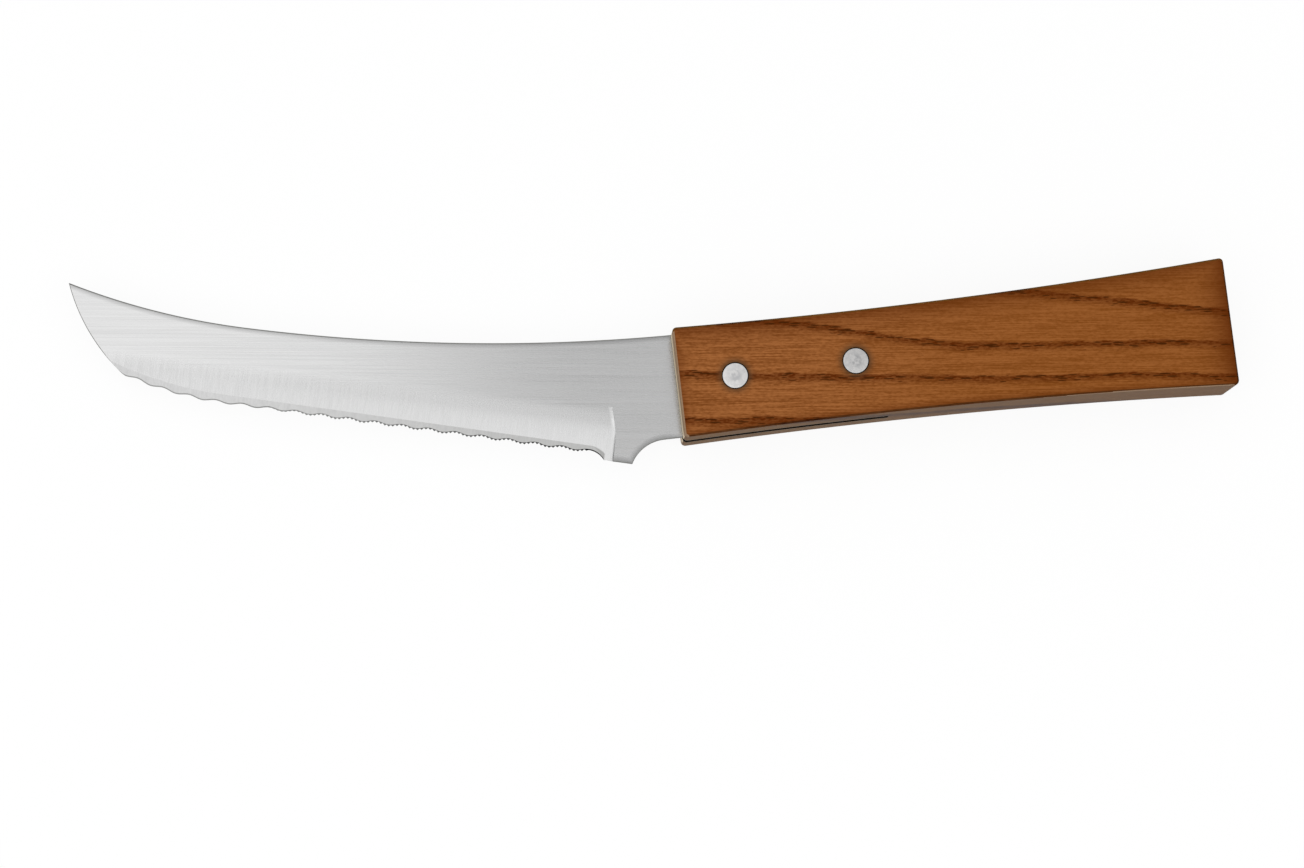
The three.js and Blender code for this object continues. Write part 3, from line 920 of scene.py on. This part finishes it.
upper_centre = spot(HANDLE_WAIST_FROM_FRONT, HANDLE_WAIST_ABOVE_AXIS + HANDLE_SIDE_RADIUS)
lower_centre = spot(HANDLE_WAIST_FROM_FRONT, -HANDLE_WAIST_BELOW_AXIS - HANDLE_SIDE_RADIUS)
front_top = spot(0.0, HANDLE_WAIST_ABOVE_AXIS + hollow(0.0))
front_bottom = spot(0.0, -HANDLE_WAIST_BELOW_AXIS - hollow(0.0))
butt_top = spot(HANDLE_LENGTH, HANDLE_WAIST_ABOVE_AXIS + hollow(HANDLE_LENGTH))
butt_bottom = spot(HANDLE_LENGTH, -HANDLE_WAIST_BELOW_AXIS - hollow(HANDLE_LENGTH))

saw_width = BLADE_THICKNESS + 2 * TANG_CLEARANCE
saw_hub = spot(TANG_LENGTH + SAW_OVERRUN - SAW_RADIUS, 0.0)
slot_end = saw_hub.x + math.sqrt(SAW_RADIUS ** 2 - HANDLE_WAIST_BELOW_AXIS ** 2)
rivet_top = HANDLE_THICKNESS / 2 - RIVET_INSET
rivet_hole = RIVET_DIAMETER / 2 + RIVET_CLEARANCE
print("rivets at", rivet_places, "and the slot ends at", round(slot_end, 2))

# %% [markdown]
# ## The wood
#
# The handle is a heat-treated hardwood with large pores. Each year's growth starts with a row of
# pores that shows as a dark line, sharp on one side and fading on the other. The lines run almost
# straight along the handle and step down where the cut leaves one layer for the next. A wave texture
# would make them all alike, so each line has its own level here, measured in one number: how far
# through the growth layers a place lies.

# %% Growth lines
GRAIN_TURN = math.atan(0.10)
GRAIN_DIP = 0.3
LAYER_STEP = 5.2
LAYERS = (
    {"level": -18.0, "step_at": -200.0, "half_length": 20.0},
    {"level": -8.1, "step_at": -98.0, "half_length": 20.0},
    {"level": 0.2, "step_at": -18.0, "half_length": 64.0},
    {"level": 7.0, "step_at": 37.0, "half_length": 22.0},
    {"level": 13.0, "step_at": 90.0, "half_length": 30.0},
    {"level": 19.5, "step_at": 160.0, "half_length": 20.0},
)
BOWS = {"length": 35.0, "width": 14.0}
BOW_SWING = 0.6
RIPPLES = {"length": 4.0, "width": 0.7}
RIPPLE_SWING = 0.4
WANDER_RANGE = (0.2, 0.8)
LINE_FADING_SIDE = 1.7
LINE_CREST = 0.4
LINE_SHARP_SIDE = 0.6


def grain_noise(tree, length, width, detail=2.0):
    """Noise whose spots are drawn out along the grain."""
    stretch = (1 / length, 1 / width, 1 / width)
    return noise(tree, millimetres(tree, GRAIN_TURN, stretch), detail=detail)


def wander(tree, spots, swing):
    """Grain noise, which lies around 0.5, moved to lie around zero."""
    return ramp(tree, grain_noise(tree, **spots), *WANDER_RANGE, -swing, swing, smooth=False)


def growth_line(tree):
    """How dark a place is as part of a growth line."""
    along, across, height = axes_of(tree, millimetres(tree, GRAIN_TURN))
    dip = sums(tree, "MULTIPLY", sums(tree, "SUBTRACT", height, HANDLE_THICKNESS / 2), GRAIN_DIP)
    layer = sums(tree, "ADD", across, dip)
    layer = sums(tree, "ADD", layer, wander(tree, BOWS, BOW_SWING))
    layer = sums(tree, "ADD", layer, wander(tree, RIPPLES, RIPPLE_SWING))
    line = 0.0
    for growth in LAYERS:
        step_start = growth["step_at"] - growth["half_length"]
        step_end = growth["step_at"] + growth["half_length"]
        path = ramp(tree, along, step_start, step_end, growth["level"] + LAYER_STEP, growth["level"])
        above = sums(tree, "SUBTRACT", layer, path)
        fading = ramp(tree, above, -LINE_FADING_SIDE, LINE_CREST)
        sharp = ramp(tree, above, LINE_CREST, LINE_CREST + LINE_SHARP_SIDE, 1.0, 0.0)
        line = sums(tree, "MAXIMUM", line, sums(tree, "MULTIPLY", fading, sharp))
    return line


print("growth lines:", len(LAYERS))

# %% [markdown]
# Water and metal stain the wood round the rivets, and beside the slot the same dark colour is painted
# as shade. The wide faces also get darker towards their rims. Both follow the drawing, so no picture
# has to be painted.

# %% Stains, painted slot shade and dark rims
STAIN_REACH = 2.0
STAIN_AND_SHADE_SHARE = 0.95
SLOT_PAINTED_SHADE = 1.2
FROM_ABOVE = (1.0, 1.0, 0.0)
RIM_SHADES = {
    "front": {"reach": 3.5, "share": 0.6},
    "butt": {"reach": 9.5, "share": 0.87},
    "top": {"reach": 6.5, "share": 0.72},
    "bottom": {"reach": 2.5, "share": 0.8},
}


def near_to(tree, distance, reach, power=1.0):
    """One at a rim, falling to zero at a reach, and faster with a higher power."""
    near = ramp(tree, distance, 0.0, reach, 1.0, 0.0, smooth=False)
    return sums(tree, "POWER", near, power)


def stain_and_slot_shade(tree):
    """How much wood is darkened: stains from the rims of the rivet holes, and painted shade beside the
    slot.
    """
    stain = 0.0
    for centre in rivet_places:
        from_hole = outside(tree, millimetres(tree, stretch=FROM_ABOVE), centre, rivet_hole)
        stain = sums(tree, "MAXIMUM", stain, near_to(tree, from_hole, STAIN_REACH, power=2.0))
    axes = axes_of(tree, millimetres(tree))
    # Beside the slot the wood is painted dark, as the shade of the slot.
    from_slot = sums(tree, "SUBTRACT", sums(tree, "ABSOLUTE", axes[2]), saw_width / 2)
    sawn = sums(tree, "LESS_THAN", axes[0], slot_end)
    slot_shade = sums(tree, "MULTIPLY", near_to(tree, from_slot, SLOT_PAINTED_SHADE), sawn)
    return sums(tree, "MULTIPLY", sums(tree, "MAXIMUM", stain, slot_shade), STAIN_AND_SHADE_SHARE)


def rim_shade(tree):
    """How much darker a face gets towards its rims."""
    place = millimetres(tree)
    x = axes_of(tree, place)[0]
    inside = {
        "front": x,
        "butt": sums(tree, "SUBTRACT", HANDLE_LENGTH, x),
        "top": outside(tree, place, upper_centre, HANDLE_SIDE_RADIUS),
        "bottom": outside(tree, place, lower_centre, HANDLE_SIDE_RADIUS),
    }
    shade = 0.0
    for side, depth in inside.items():
        near = near_to(tree, depth, RIM_SHADES[side]["reach"], power=2.0)
        dark = sums(tree, "MULTIPLY", near, RIM_SHADES[side]["share"])
        shade = sums(tree, "MAXIMUM", shade, dark)
    return shade


print("stains reach", STAIN_REACH, "mm from a rivet and", SLOT_PAINTED_SHADE, "mm from the slot")

# %% [markdown]
# All else follows the fibres: long streaks, short fibres, fine pores that are larger in the growth
# lines, and a slow change of tone towards the butt. One function makes four woods that differ in
# tone: the oiled faces, the sides painted darker as shade, the rims between them painted darker
# still as shade, and the saw cut painted nearly black as the shade inside it.

# %% Wood finish
WOOD_LIGHT = screen(160, 100, 54)
WOOD_DEEP = screen(119, 66, 26)
WOOD_AGED = screen(128, 70, 14)
WOOD_LINE = screen(86, 34, 0)
WOOD_STAIN_AND_SHADE = screen(78, 56, 36)
WOOD_PORE = screen(58, 25, 0)
WOOD_ROUGHNESS = 0.55
LONG_STREAKS = {"length": 9.0, "width": 0.15, "detail": 3.0}
BROAD_STREAKS = {"length": 30.0, "width": 1.6}
BROAD_SHARE = 0.2
SHORT_FIBRES = {"length": 0.9, "width": 0.3}
SHORT_SHARE = 0.32
STREAK_RANGE = (0.38, 0.62)
DASH_RANGE = (0.35, 0.6)
DASH_SHARE = 0.65
AGED_RANGE = (5.0, 80.0)
AGED_SHARE = 0.4
PORE_LENGTH = 3.2
PORE_WIDTH = 0.45
PORE_SIZES = (0.1, 0.42)
PORE_RIM = 0.1
PORE_SHARE = 0.8
FIBRE_RELIEF = 0.3
PORE_DEPTH = 0.04


def pores(tree, line):
    """Long pores, larger where a growth line is dark."""
    stretch = (1 / PORE_LENGTH, 1 / PORE_WIDTH, 1 / PORE_WIDTH)
    cells = {"Vector": millimetres(tree, GRAIN_TURN, stretch), "Scale": 1.0}
    from_middle = add(tree, "TexVoronoi", cells).outputs["Distance"]
    size = ramp(tree, line, 0.1, 0.9, *PORE_SIZES)
    return ramp(tree, sums(tree, "SUBTRACT", size, from_middle), 0.0, PORE_RIM)


def wood_finish(name, tone, gloss, shaded=False):
    """Wood with growth lines, streaks, pores, stains and painted slot shade. A tone below one darkens
    all of it as painted shade.
    """
    finish, tree, shader = new_finish(name)
    light, deep, aged, dark_line, dark_pore, stain_and_shade_colour = (
        tuple(value * share for value, share in zip(colour, (*tone, 1.0)))
        for colour in (WOOD_LIGHT, WOOD_DEEP, WOOD_AGED, WOOD_LINE, WOOD_PORE, WOOD_STAIN_AND_SHADE))
    along = axes_of(tree, millimetres(tree, GRAIN_TURN))[0]
    line = growth_line(tree)
    fine = grain_noise(tree, **LONG_STREAKS)
    long = mix_numbers(tree, BROAD_SHARE, fine, grain_noise(tree, **BROAD_STREAKS))
    short = grain_noise(tree, **SHORT_FIBRES)
    streaks = mix_numbers(tree, SHORT_SHARE, long, short)
    colour = mix_colours(tree, ramp(tree, streaks, *STREAK_RANGE), deep, light)
    colour = mix_colours(tree, ramp(tree, along, *AGED_RANGE, 0.0, AGED_SHARE), colour, aged)
    if shaded:
        colour = mix_colours(tree, rim_shade(tree), colour, dark_line)
    dashes = ramp(tree, short, *DASH_RANGE, 1.0, DASH_SHARE)
    colour = mix_colours(tree, sums(tree, "MULTIPLY", line, dashes), colour, dark_line)
    pore = pores(tree, line)
    colour = mix_colours(tree, sums(tree, "MULTIPLY", pore, PORE_SHARE), colour, dark_pore)
    height = sums(tree, "SUBTRACT", sums(tree, "MULTIPLY", fine, FIBRE_RELIEF), pore)
    feed(tree, shader, {
        "Base Color": mix_colours(tree, stain_and_slot_shade(tree), colour, stain_and_shade_colour),
        "Normal": relief(tree, height, PORE_DEPTH, strength=0.5),
        "Roughness": WOOD_ROUGHNESS,
        "Specular IOR Level": gloss,
    })
    return finish


wood = wood_finish("oiled_wood", tone=(1.0, 1.0, 1.0), gloss=0.02, shaded=True)
# The sides are darkened by their tone, as painted shade.
wood_side_painted_shade = wood_finish("side_wood_painted_shade", tone=(0.48, 0.62, 0.36), gloss=0.08)
# The broken rims are painted darker still, as painted shade on their rounding.
wood_rim_painted_shade = wood_finish("rim_wood_painted_shade", tone=(0.3, 0.3, 0.3), gloss=0.02)
sawn_wood_painted_shade = wood_finish("sawn_wood_painted_shade", tone=(0.03, 0.03, 0.03), gloss=0.0)
print("wood finishes:", wood.name, wood_side_painted_shade.name, wood_rim_painted_shade.name, sawn_wood_painted_shade.name)

# %% [markdown]
# The front end is cut across the fibres. Beside the blade its lower part is painted pale, as painted
# light that also lightens its reflection in the blade.

# %% End grain
END_GRAIN_PAINTED_LIGHT = screen(228, 210, 178)
END_GRAIN_TONE = screen(144, 116, 88)
PAINTED_LIGHT_UP_TO = 4.0
PAINTED_LIGHT_GONE_FROM = 6.5
FIBRE_ENDS = 3.0
FIBRE_TONE = 0.85
CUT_ROUGHNESS = 0.7

end_grain, tree, shader = new_finish("end_grain")
from_middle = sums(tree, "ABSOLUTE", axes_of(tree, millimetres(tree))[2])
# Near the blade the end grain is painted pale, as painted light.
light_gone = ramp(tree, from_middle, PAINTED_LIGHT_UP_TO, PAINTED_LIGHT_GONE_FROM)
end_colour = mix_colours(tree, light_gone, END_GRAIN_PAINTED_LIGHT, END_GRAIN_TONE)
fibres = noise(tree, millimetres(tree), scale=FIBRE_ENDS, detail=3.0)
fibres = ramp(tree, fibres, *NOISE_RANGE, FIBRE_TONE, 1.0)
end_colour = mix_colours(tree, 1.0, end_colour, fibres, "MULTIPLY")
feed(tree, shader, {"Base Color": end_colour, "Roughness": CUT_ROUGHNESS})
print("finish:", end_grain.name)

# %% [markdown]
# ## The handle
#
# A maker cuts the block to its outline, rounds the four corners and breaks all edges. A cube with
# its sides pushed in would only come close to the long arcs, so the outline is drawn, its corners
# are rounded, the face is extruded and its rims are bevelled. The long sides are painted darker as
# shade, and the broken rims darker still, apart from those along the top, which take the side's
# painted shade, and those at the front, which show end grain.

# %% Shape the handle block
CORNER_STEPS = 6
FRONT_FACING = 0.9
RIM_LEAN = 0.03

pencil = Pencil("handle_wood", front_bottom)
pencil.arc_to(lower_centre, butt_bottom, LONG_ARC)
pencil.line_to(butt_top)
pencil.arc_to(upper_centre, front_top, LONG_ARC)
pencil.line_to(front_bottom)
handle = pencil.fill()


def round_corner(piece, place, radius):
    """Rounds the outline's corner at a place, before it is extruded."""
    with picking("VERT"):
        nearest = min(piece.data.vertices, key=lambda vertex: (vertex.co - in_frame(place)).length)
        nearest.select = True
    bpy.ops.mesh.bevel(offset=radius * MM, segments=CORNER_STEPS, affect="VERTICES")


for corner in (front_bottom, front_top, butt_top):
    round_corner(handle, corner, HANDLE_CORNER)
round_corner(handle, butt_bottom, HANDLE_BUTT_BOTTOM_CORNER)
thicken(handle, HANDLE_THICKNESS, (wood, wood_side_painted_shade, end_grain, wood_rim_painted_shade))
rim = finish_index(handle, wood_rim_painted_shade)
bpy.ops.object.mode_set(mode="EDIT")
paint(handle, wood_side_painted_shade, lambda face: is_side(face.normal))
paint(handle, end_grain, lambda face: face.normal.x < -FRONT_FACING)
select_rims(handle, is_side)
bpy.ops.mesh.bevel(offset=HANDLE_EDGE_ROUND * MM, segments=ROUND_STEPS, affect="EDGES", material=rim)
paint(handle, wood_side_painted_shade, lambda face: face.material_index == rim and face.normal.y > RIM_LEAN)
paint(handle, end_grain, lambda face: face.material_index == rim and face.normal.x < -RIM_LEAN)
close_edit()
print("handle block:", len(handle.data.polygons), "faces")

# %% [markdown]
# A round saw cuts the slot for the tang from the front end, so the floor of the slot is an arc. The
# tool is a plain disc. The rivet holes go through the wood and the tang, and are countersunk in the
# wood. A drill's profile is drawn once and spun about its axis, like a piece on a lathe.

# %% Saw the slot and drill the rivet holes
SAW_STEPS = 360
TURNED_STEPS = 72

bpy.ops.mesh.primitive_cylinder_add(vertices=SAW_STEPS, radius=SAW_RADIUS * MM, depth=saw_width * MM)
saw = open_new("saw")
bpy.ops.transform.translate(value=in_frame(saw_hub))
close_edit()
# The saw and the drills leave faces painted nearly black, as the shade inside the slot and round the
# rivets.
cut(handle, saw, sawn_wood_painted_shade)


def turned(name, centre, profile):
    """Spins a profile of radius and height pairs about an upright axis, above and below the middle."""
    whole = [(radius, -height) for radius, height in reversed(profile)] + profile
    pen = Pencil(name, centre + spot(whole[0][0], 0, whole[0][1]))
    for radius, height in whole[1:]:
        pen.line_to(centre + spot(radius, 0, height))
    bpy.ops.mesh.select_all(action="SELECT")
    bpy.ops.mesh.spin(steps=TURNED_STEPS, angle=2 * math.pi, center=in_frame(centre), axis=(0, 0, 1))
    close_edit()
    return pen.piece


outside_wood = HANDLE_THICKNESS / 2 + TOOL_MARGIN
countersunk_drill = [
    (rivet_hole, rivet_top - RIVET_HEAD_HEIGHT),
    (rivet_hole + RIVET_HEAD_FLARE, rivet_top - RIVET_DOME),
    (rivet_hole + RIVET_HEAD_FLARE, outside_wood),
    (0.0, outside_wood),
]
tang_drill = [(rivet_hole, BLADE_THICKNESS), (0.0, BLADE_THICKNESS)]
for centre in rivet_places:
    cut(handle, turned("drill", centre, countersunk_drill), sawn_wood_painted_shade)
    cut(blade, turned("tang_drill", centre, tang_drill), tang_steel_painted_shade)

# %% [markdown]
# ## The rivets
#
# Each rivet is a soft aluminium pin, hammered at both ends until it fills its countersink, and then
# sanded nearly flush. A thin dark ring stays around the head, and a grey blotch in the middle
# where the hammer closed the pin last.

# %% Rivet finish and pieces
ALUMINIUM = {
    "rivet_front": {"bright": screen(200, 199, 198), "dull": screen(172, 172, 173)},
    "rivet_rear": {"bright": screen(186, 185, 184), "dull": screen(150, 150, 151)},
}
BLOTCH_RANGE = (0.38, 0.6)
BLOTCH_REACH = (0.7, 1.6)
BLOTCH_OUTSIDE = 0.4
RIVET_ROUGHNESS = (0.36, 0.5)
HAMMER_MARKS = 0.9
HAMMER_DEPTH = 0.01
DOME_STOPS = (1.0, 0.96, 0.8, 0.6, 0.4, 0.2, 0.0)


def rivet_finish(name, centre, bright, dull):
    """Satin aluminium with a peened blotch on the head."""
    finish, tree, shader = new_finish(name)
    radius = distance_to(tree, millimetres(tree, stretch=FROM_ABOVE), centre)
    cloud = noise(tree, millimetres(tree), scale=HAMMER_MARKS, detail=4.0, roughness=0.6)
    inner = ramp(tree, radius, *BLOTCH_REACH, 1.0, BLOTCH_OUTSIDE)
    blotch = sums(tree, "MULTIPLY", ramp(tree, cloud, *BLOTCH_RANGE), inner)
    feed(tree, shader, {
        "Base Color": mix_colours(tree, blotch, bright, dull),
        "Roughness": ramp(tree, blotch, 0.0, 1.0, *RIVET_ROUGHNESS),
        "Normal": relief(tree, cloud, HAMMER_DEPTH, strength=0.6),
        "Metallic": 1.0,
    })
    return finish


shank = RIVET_DIAMETER / 2
head = shank + RIVET_HEAD_FLARE
dome = [(head * share, rivet_top - RIVET_DOME * share ** 2) for share in DOME_STOPS]
rivets = {}
for node, centre in zip(("rivet_front", "rivet_rear"), rivet_places):
    rivet = turned(node + "_pin", centre, [(shank, rivet_top - RIVET_HEAD_HEIGHT)] + dome)
    rivet.data.materials.append(rivet_finish(node + "_aluminium", centre, **ALUMINIUM[node]))
    rivets[node] = rivet
    print(rivet.name, len(rivet.data.polygons), "faces")

# %% [markdown]
# ## Shading
#
# Smooth shading blends the small facets of the arcs, and stops at edges that are sharp on the real
# piece. Weighted normals keep the large flats flat, so that the soft start of the grind doesn't
# bleed into them.

# %% Smooth the facets and keep the edges
SMOOTH_BELOW = {
    "blade_steel": 5.0,
    "handle_wood": 35.0,
    "rivet_front_pin": 20.0,
    "rivet_rear_pin": 20.0,
}
LARGE_FACE_WEIGHT = 100
for piece in (blade, handle, *rivets.values()):
    make_active(piece)
    bpy.ops.object.shade_smooth_by_angle(angle=math.radians(SMOOTH_BELOW[piece.name]))
    weighted = piece.modifiers.new("weighted_normals", "WEIGHTED_NORMAL")
    weighted.keep_sharp = True
    weighted.weight = LARGE_FACE_WEIGHT
    bpy.ops.object.modifier_apply(modifier=weighted.name)
    print(piece.name, "has", len(piece.data.polygons), "faces")

# %% [markdown]
# ## Joining the frame
#
# The fine pieces stand for the CAD solids and ride on the one body of the knife.

# %% Ride on the body and hide the CAD parts
for piece, node, slot in (
    (blade, "blade", "steel"),
    (handle, "handle", "wood"),
    (rivets["rivet_front"], "rivet_front", "aluminium"),
    (rivets["rivet_rear"], "rivet_rear", "aluminium"),
):
    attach(piece, "root")
    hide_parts(node)

# %% [markdown]
# ## The studio
#
# The photograph is taken from above on a white ground. The floor is a white dish whose rim curves
# up, so that every view has a plain pale background. Camera and reflection rays see it as white,
# with part of the real shading mixed in so that the knife's soft shadow stays. Floor and lamps are
# measured in metres.

# %% Floor
FLOOR_RADIUS = 2.5
FLOOR_STEPS = 96
RIM_RADIUS = 0.8
RIM_STEPS = 8
SHADOW_SHARE = 0.1

floor_finish, tree, shader = new_finish("white_floor")
feed(tree, shader, {"Base Color": (0.95, 0.95, 0.95, 1.0), "Roughness": 0.9})
rays = add(tree, "LightPath", {}).outputs
seen = sums(tree, "MAXIMUM", rays["Is Camera Ray"], rays["Is Glossy Ray"])
seen = sums(tree, "MAXIMUM", seen, rays["Is Transmission Ray"])
share = sums(tree, "MULTIPLY", seen, 1 - SHADOW_SHARE)
white = add(tree, "Emission", {"Color": (1, 1, 1, 1), "Strength": 1.0})
both = add(tree, "MixShader", {0: share, 1: shader.outputs[0], 2: white.outputs[0]})
feed(tree, tree.nodes["Material Output"], {"Surface": both.outputs[0]})

bpy.ops.mesh.primitive_circle_add(vertices=FLOOR_STEPS, radius=FLOOR_RADIUS, fill_type="NGON")
floor = open_new("floor")
bpy.ops.mesh.select_mode(type="EDGE")
bpy.ops.mesh.region_to_loop()
radius, height = FLOOR_RADIUS, 0.0
for reach, rise in quarter_arc(RIM_STEPS):
    lift = RIM_RADIUS * rise - height
    wider = (FLOOR_RADIUS + RIM_RADIUS * reach) / radius
    bpy.ops.mesh.extrude_region_move(TRANSFORM_OT_translate={"value": (0, 0, lift)})
    bpy.ops.transform.resize(value=(wider, wider, 1.0))
    radius, height = radius * wider, height + lift
bpy.ops.object.mode_set(mode="OBJECT")
bpy.ops.object.shade_smooth()
floor.data.materials.append(floor_finish)
print("floor:", len(floor.data.polygons), "faces")

# %% [markdown]
# Two large softboxes hang over the table, one to the left and one in front. A weak card on the right
# keeps the neck from going dark, but the far right stays dimmer. Brushed steel shows that at once:
# the flat falls from light to grey along the blade, while the ground zone, which smears light the
# other way, stays bright to the heel. A lamp's energy is pi times its brightness times its area.

# %% Lamps and room light
ROOM_LIGHT = 0.56
LAMPS = {
    "left_softbox": {"place": (-0.43, 0.5, 1.1), "size": (0.8, 1.0), "brightness": 1.17},
    "front_softbox": {"place": (0.0, -0.6, 1.1), "size": (2.5, 1.2), "brightness": 1.05},
    "right_card": {"place": (0.66, 0.55, 1.1), "size": (1.2, 1.0), "brightness": 0.3},
}
for name, lamp in LAMPS.items():
    bpy.ops.object.light_add(type="AREA", location=lamp["place"])
    light = bpy.context.object
    light.name = name
    light.data.shape = "RECTANGLE"
    light.data.size, light.data.size_y = lamp["size"]
    light.data.energy = math.pi * lamp["brightness"] * lamp["size"][0] * lamp["size"][1]
world = bpy.data.worlds.new("room")
bpy.context.scene.world = world
world.use_nodes = True
tree = world.node_tree
feed(tree, tree.nodes["Background"], {"Color": (1.0, 1.0, 1.0, 1.0), "Strength": ROOM_LIGHT})
bpy.context.scene.view_settings.view_transform = "Standard"
print("lamps:", list(LAMPS))

# %% [markdown]
# The camera looks down from about 80 cm with a longer lens, tilted a little towards the edge side
# and to the left, and rolled so that the handle climbs to the right. The lens follows from what one
# pixel of the photo measures at that distance.

# %% Camera
PHOTO_WIDTH = 1304
SENSOR_WIDTH = 36.0
CAMERA_DISTANCE = 800.0
PIXEL_AT_TARGET = 0.2055
TILT_TO_EDGE = math.radians(7.04)
TILT_TO_LEFT = math.radians(2.34)
ROLL = math.radians(6.7)
FRAME_CENTRE = spot(-6.156, -9.103)
NEAREST_SEEN = 0.05

roll = Matrix.Rotation(-ROLL, 3, "Z")
back = roll @ Vector((
    -math.sin(TILT_TO_LEFT) * math.cos(TILT_TO_EDGE),
    -math.sin(TILT_TO_EDGE),
    math.cos(TILT_TO_EDGE) * math.cos(TILT_TO_LEFT),
)).normalized()
right = (roll @ Vector((0, 1, 0))).cross(back).normalized()
up = back.cross(right)
bpy.ops.object.camera_add(location=in_frame(FRAME_CENTRE + back * CAMERA_DISTANCE))
camera = bpy.context.object
camera.rotation_euler = Matrix((right, up, back)).transposed().to_euler()
camera.data.sensor_width = SENSOR_WIDTH
camera.data.lens = CAMERA_DISTANCE / PIXEL_AT_TARGET * SENSOR_WIDTH / PHOTO_WIDTH
camera.data.clip_start = NEAREST_SEEN
bpy.context.scene.camera = camera
print("camera at mm", [round(value / MM, 1) for value in camera.location], "lens", camera.data.lens)
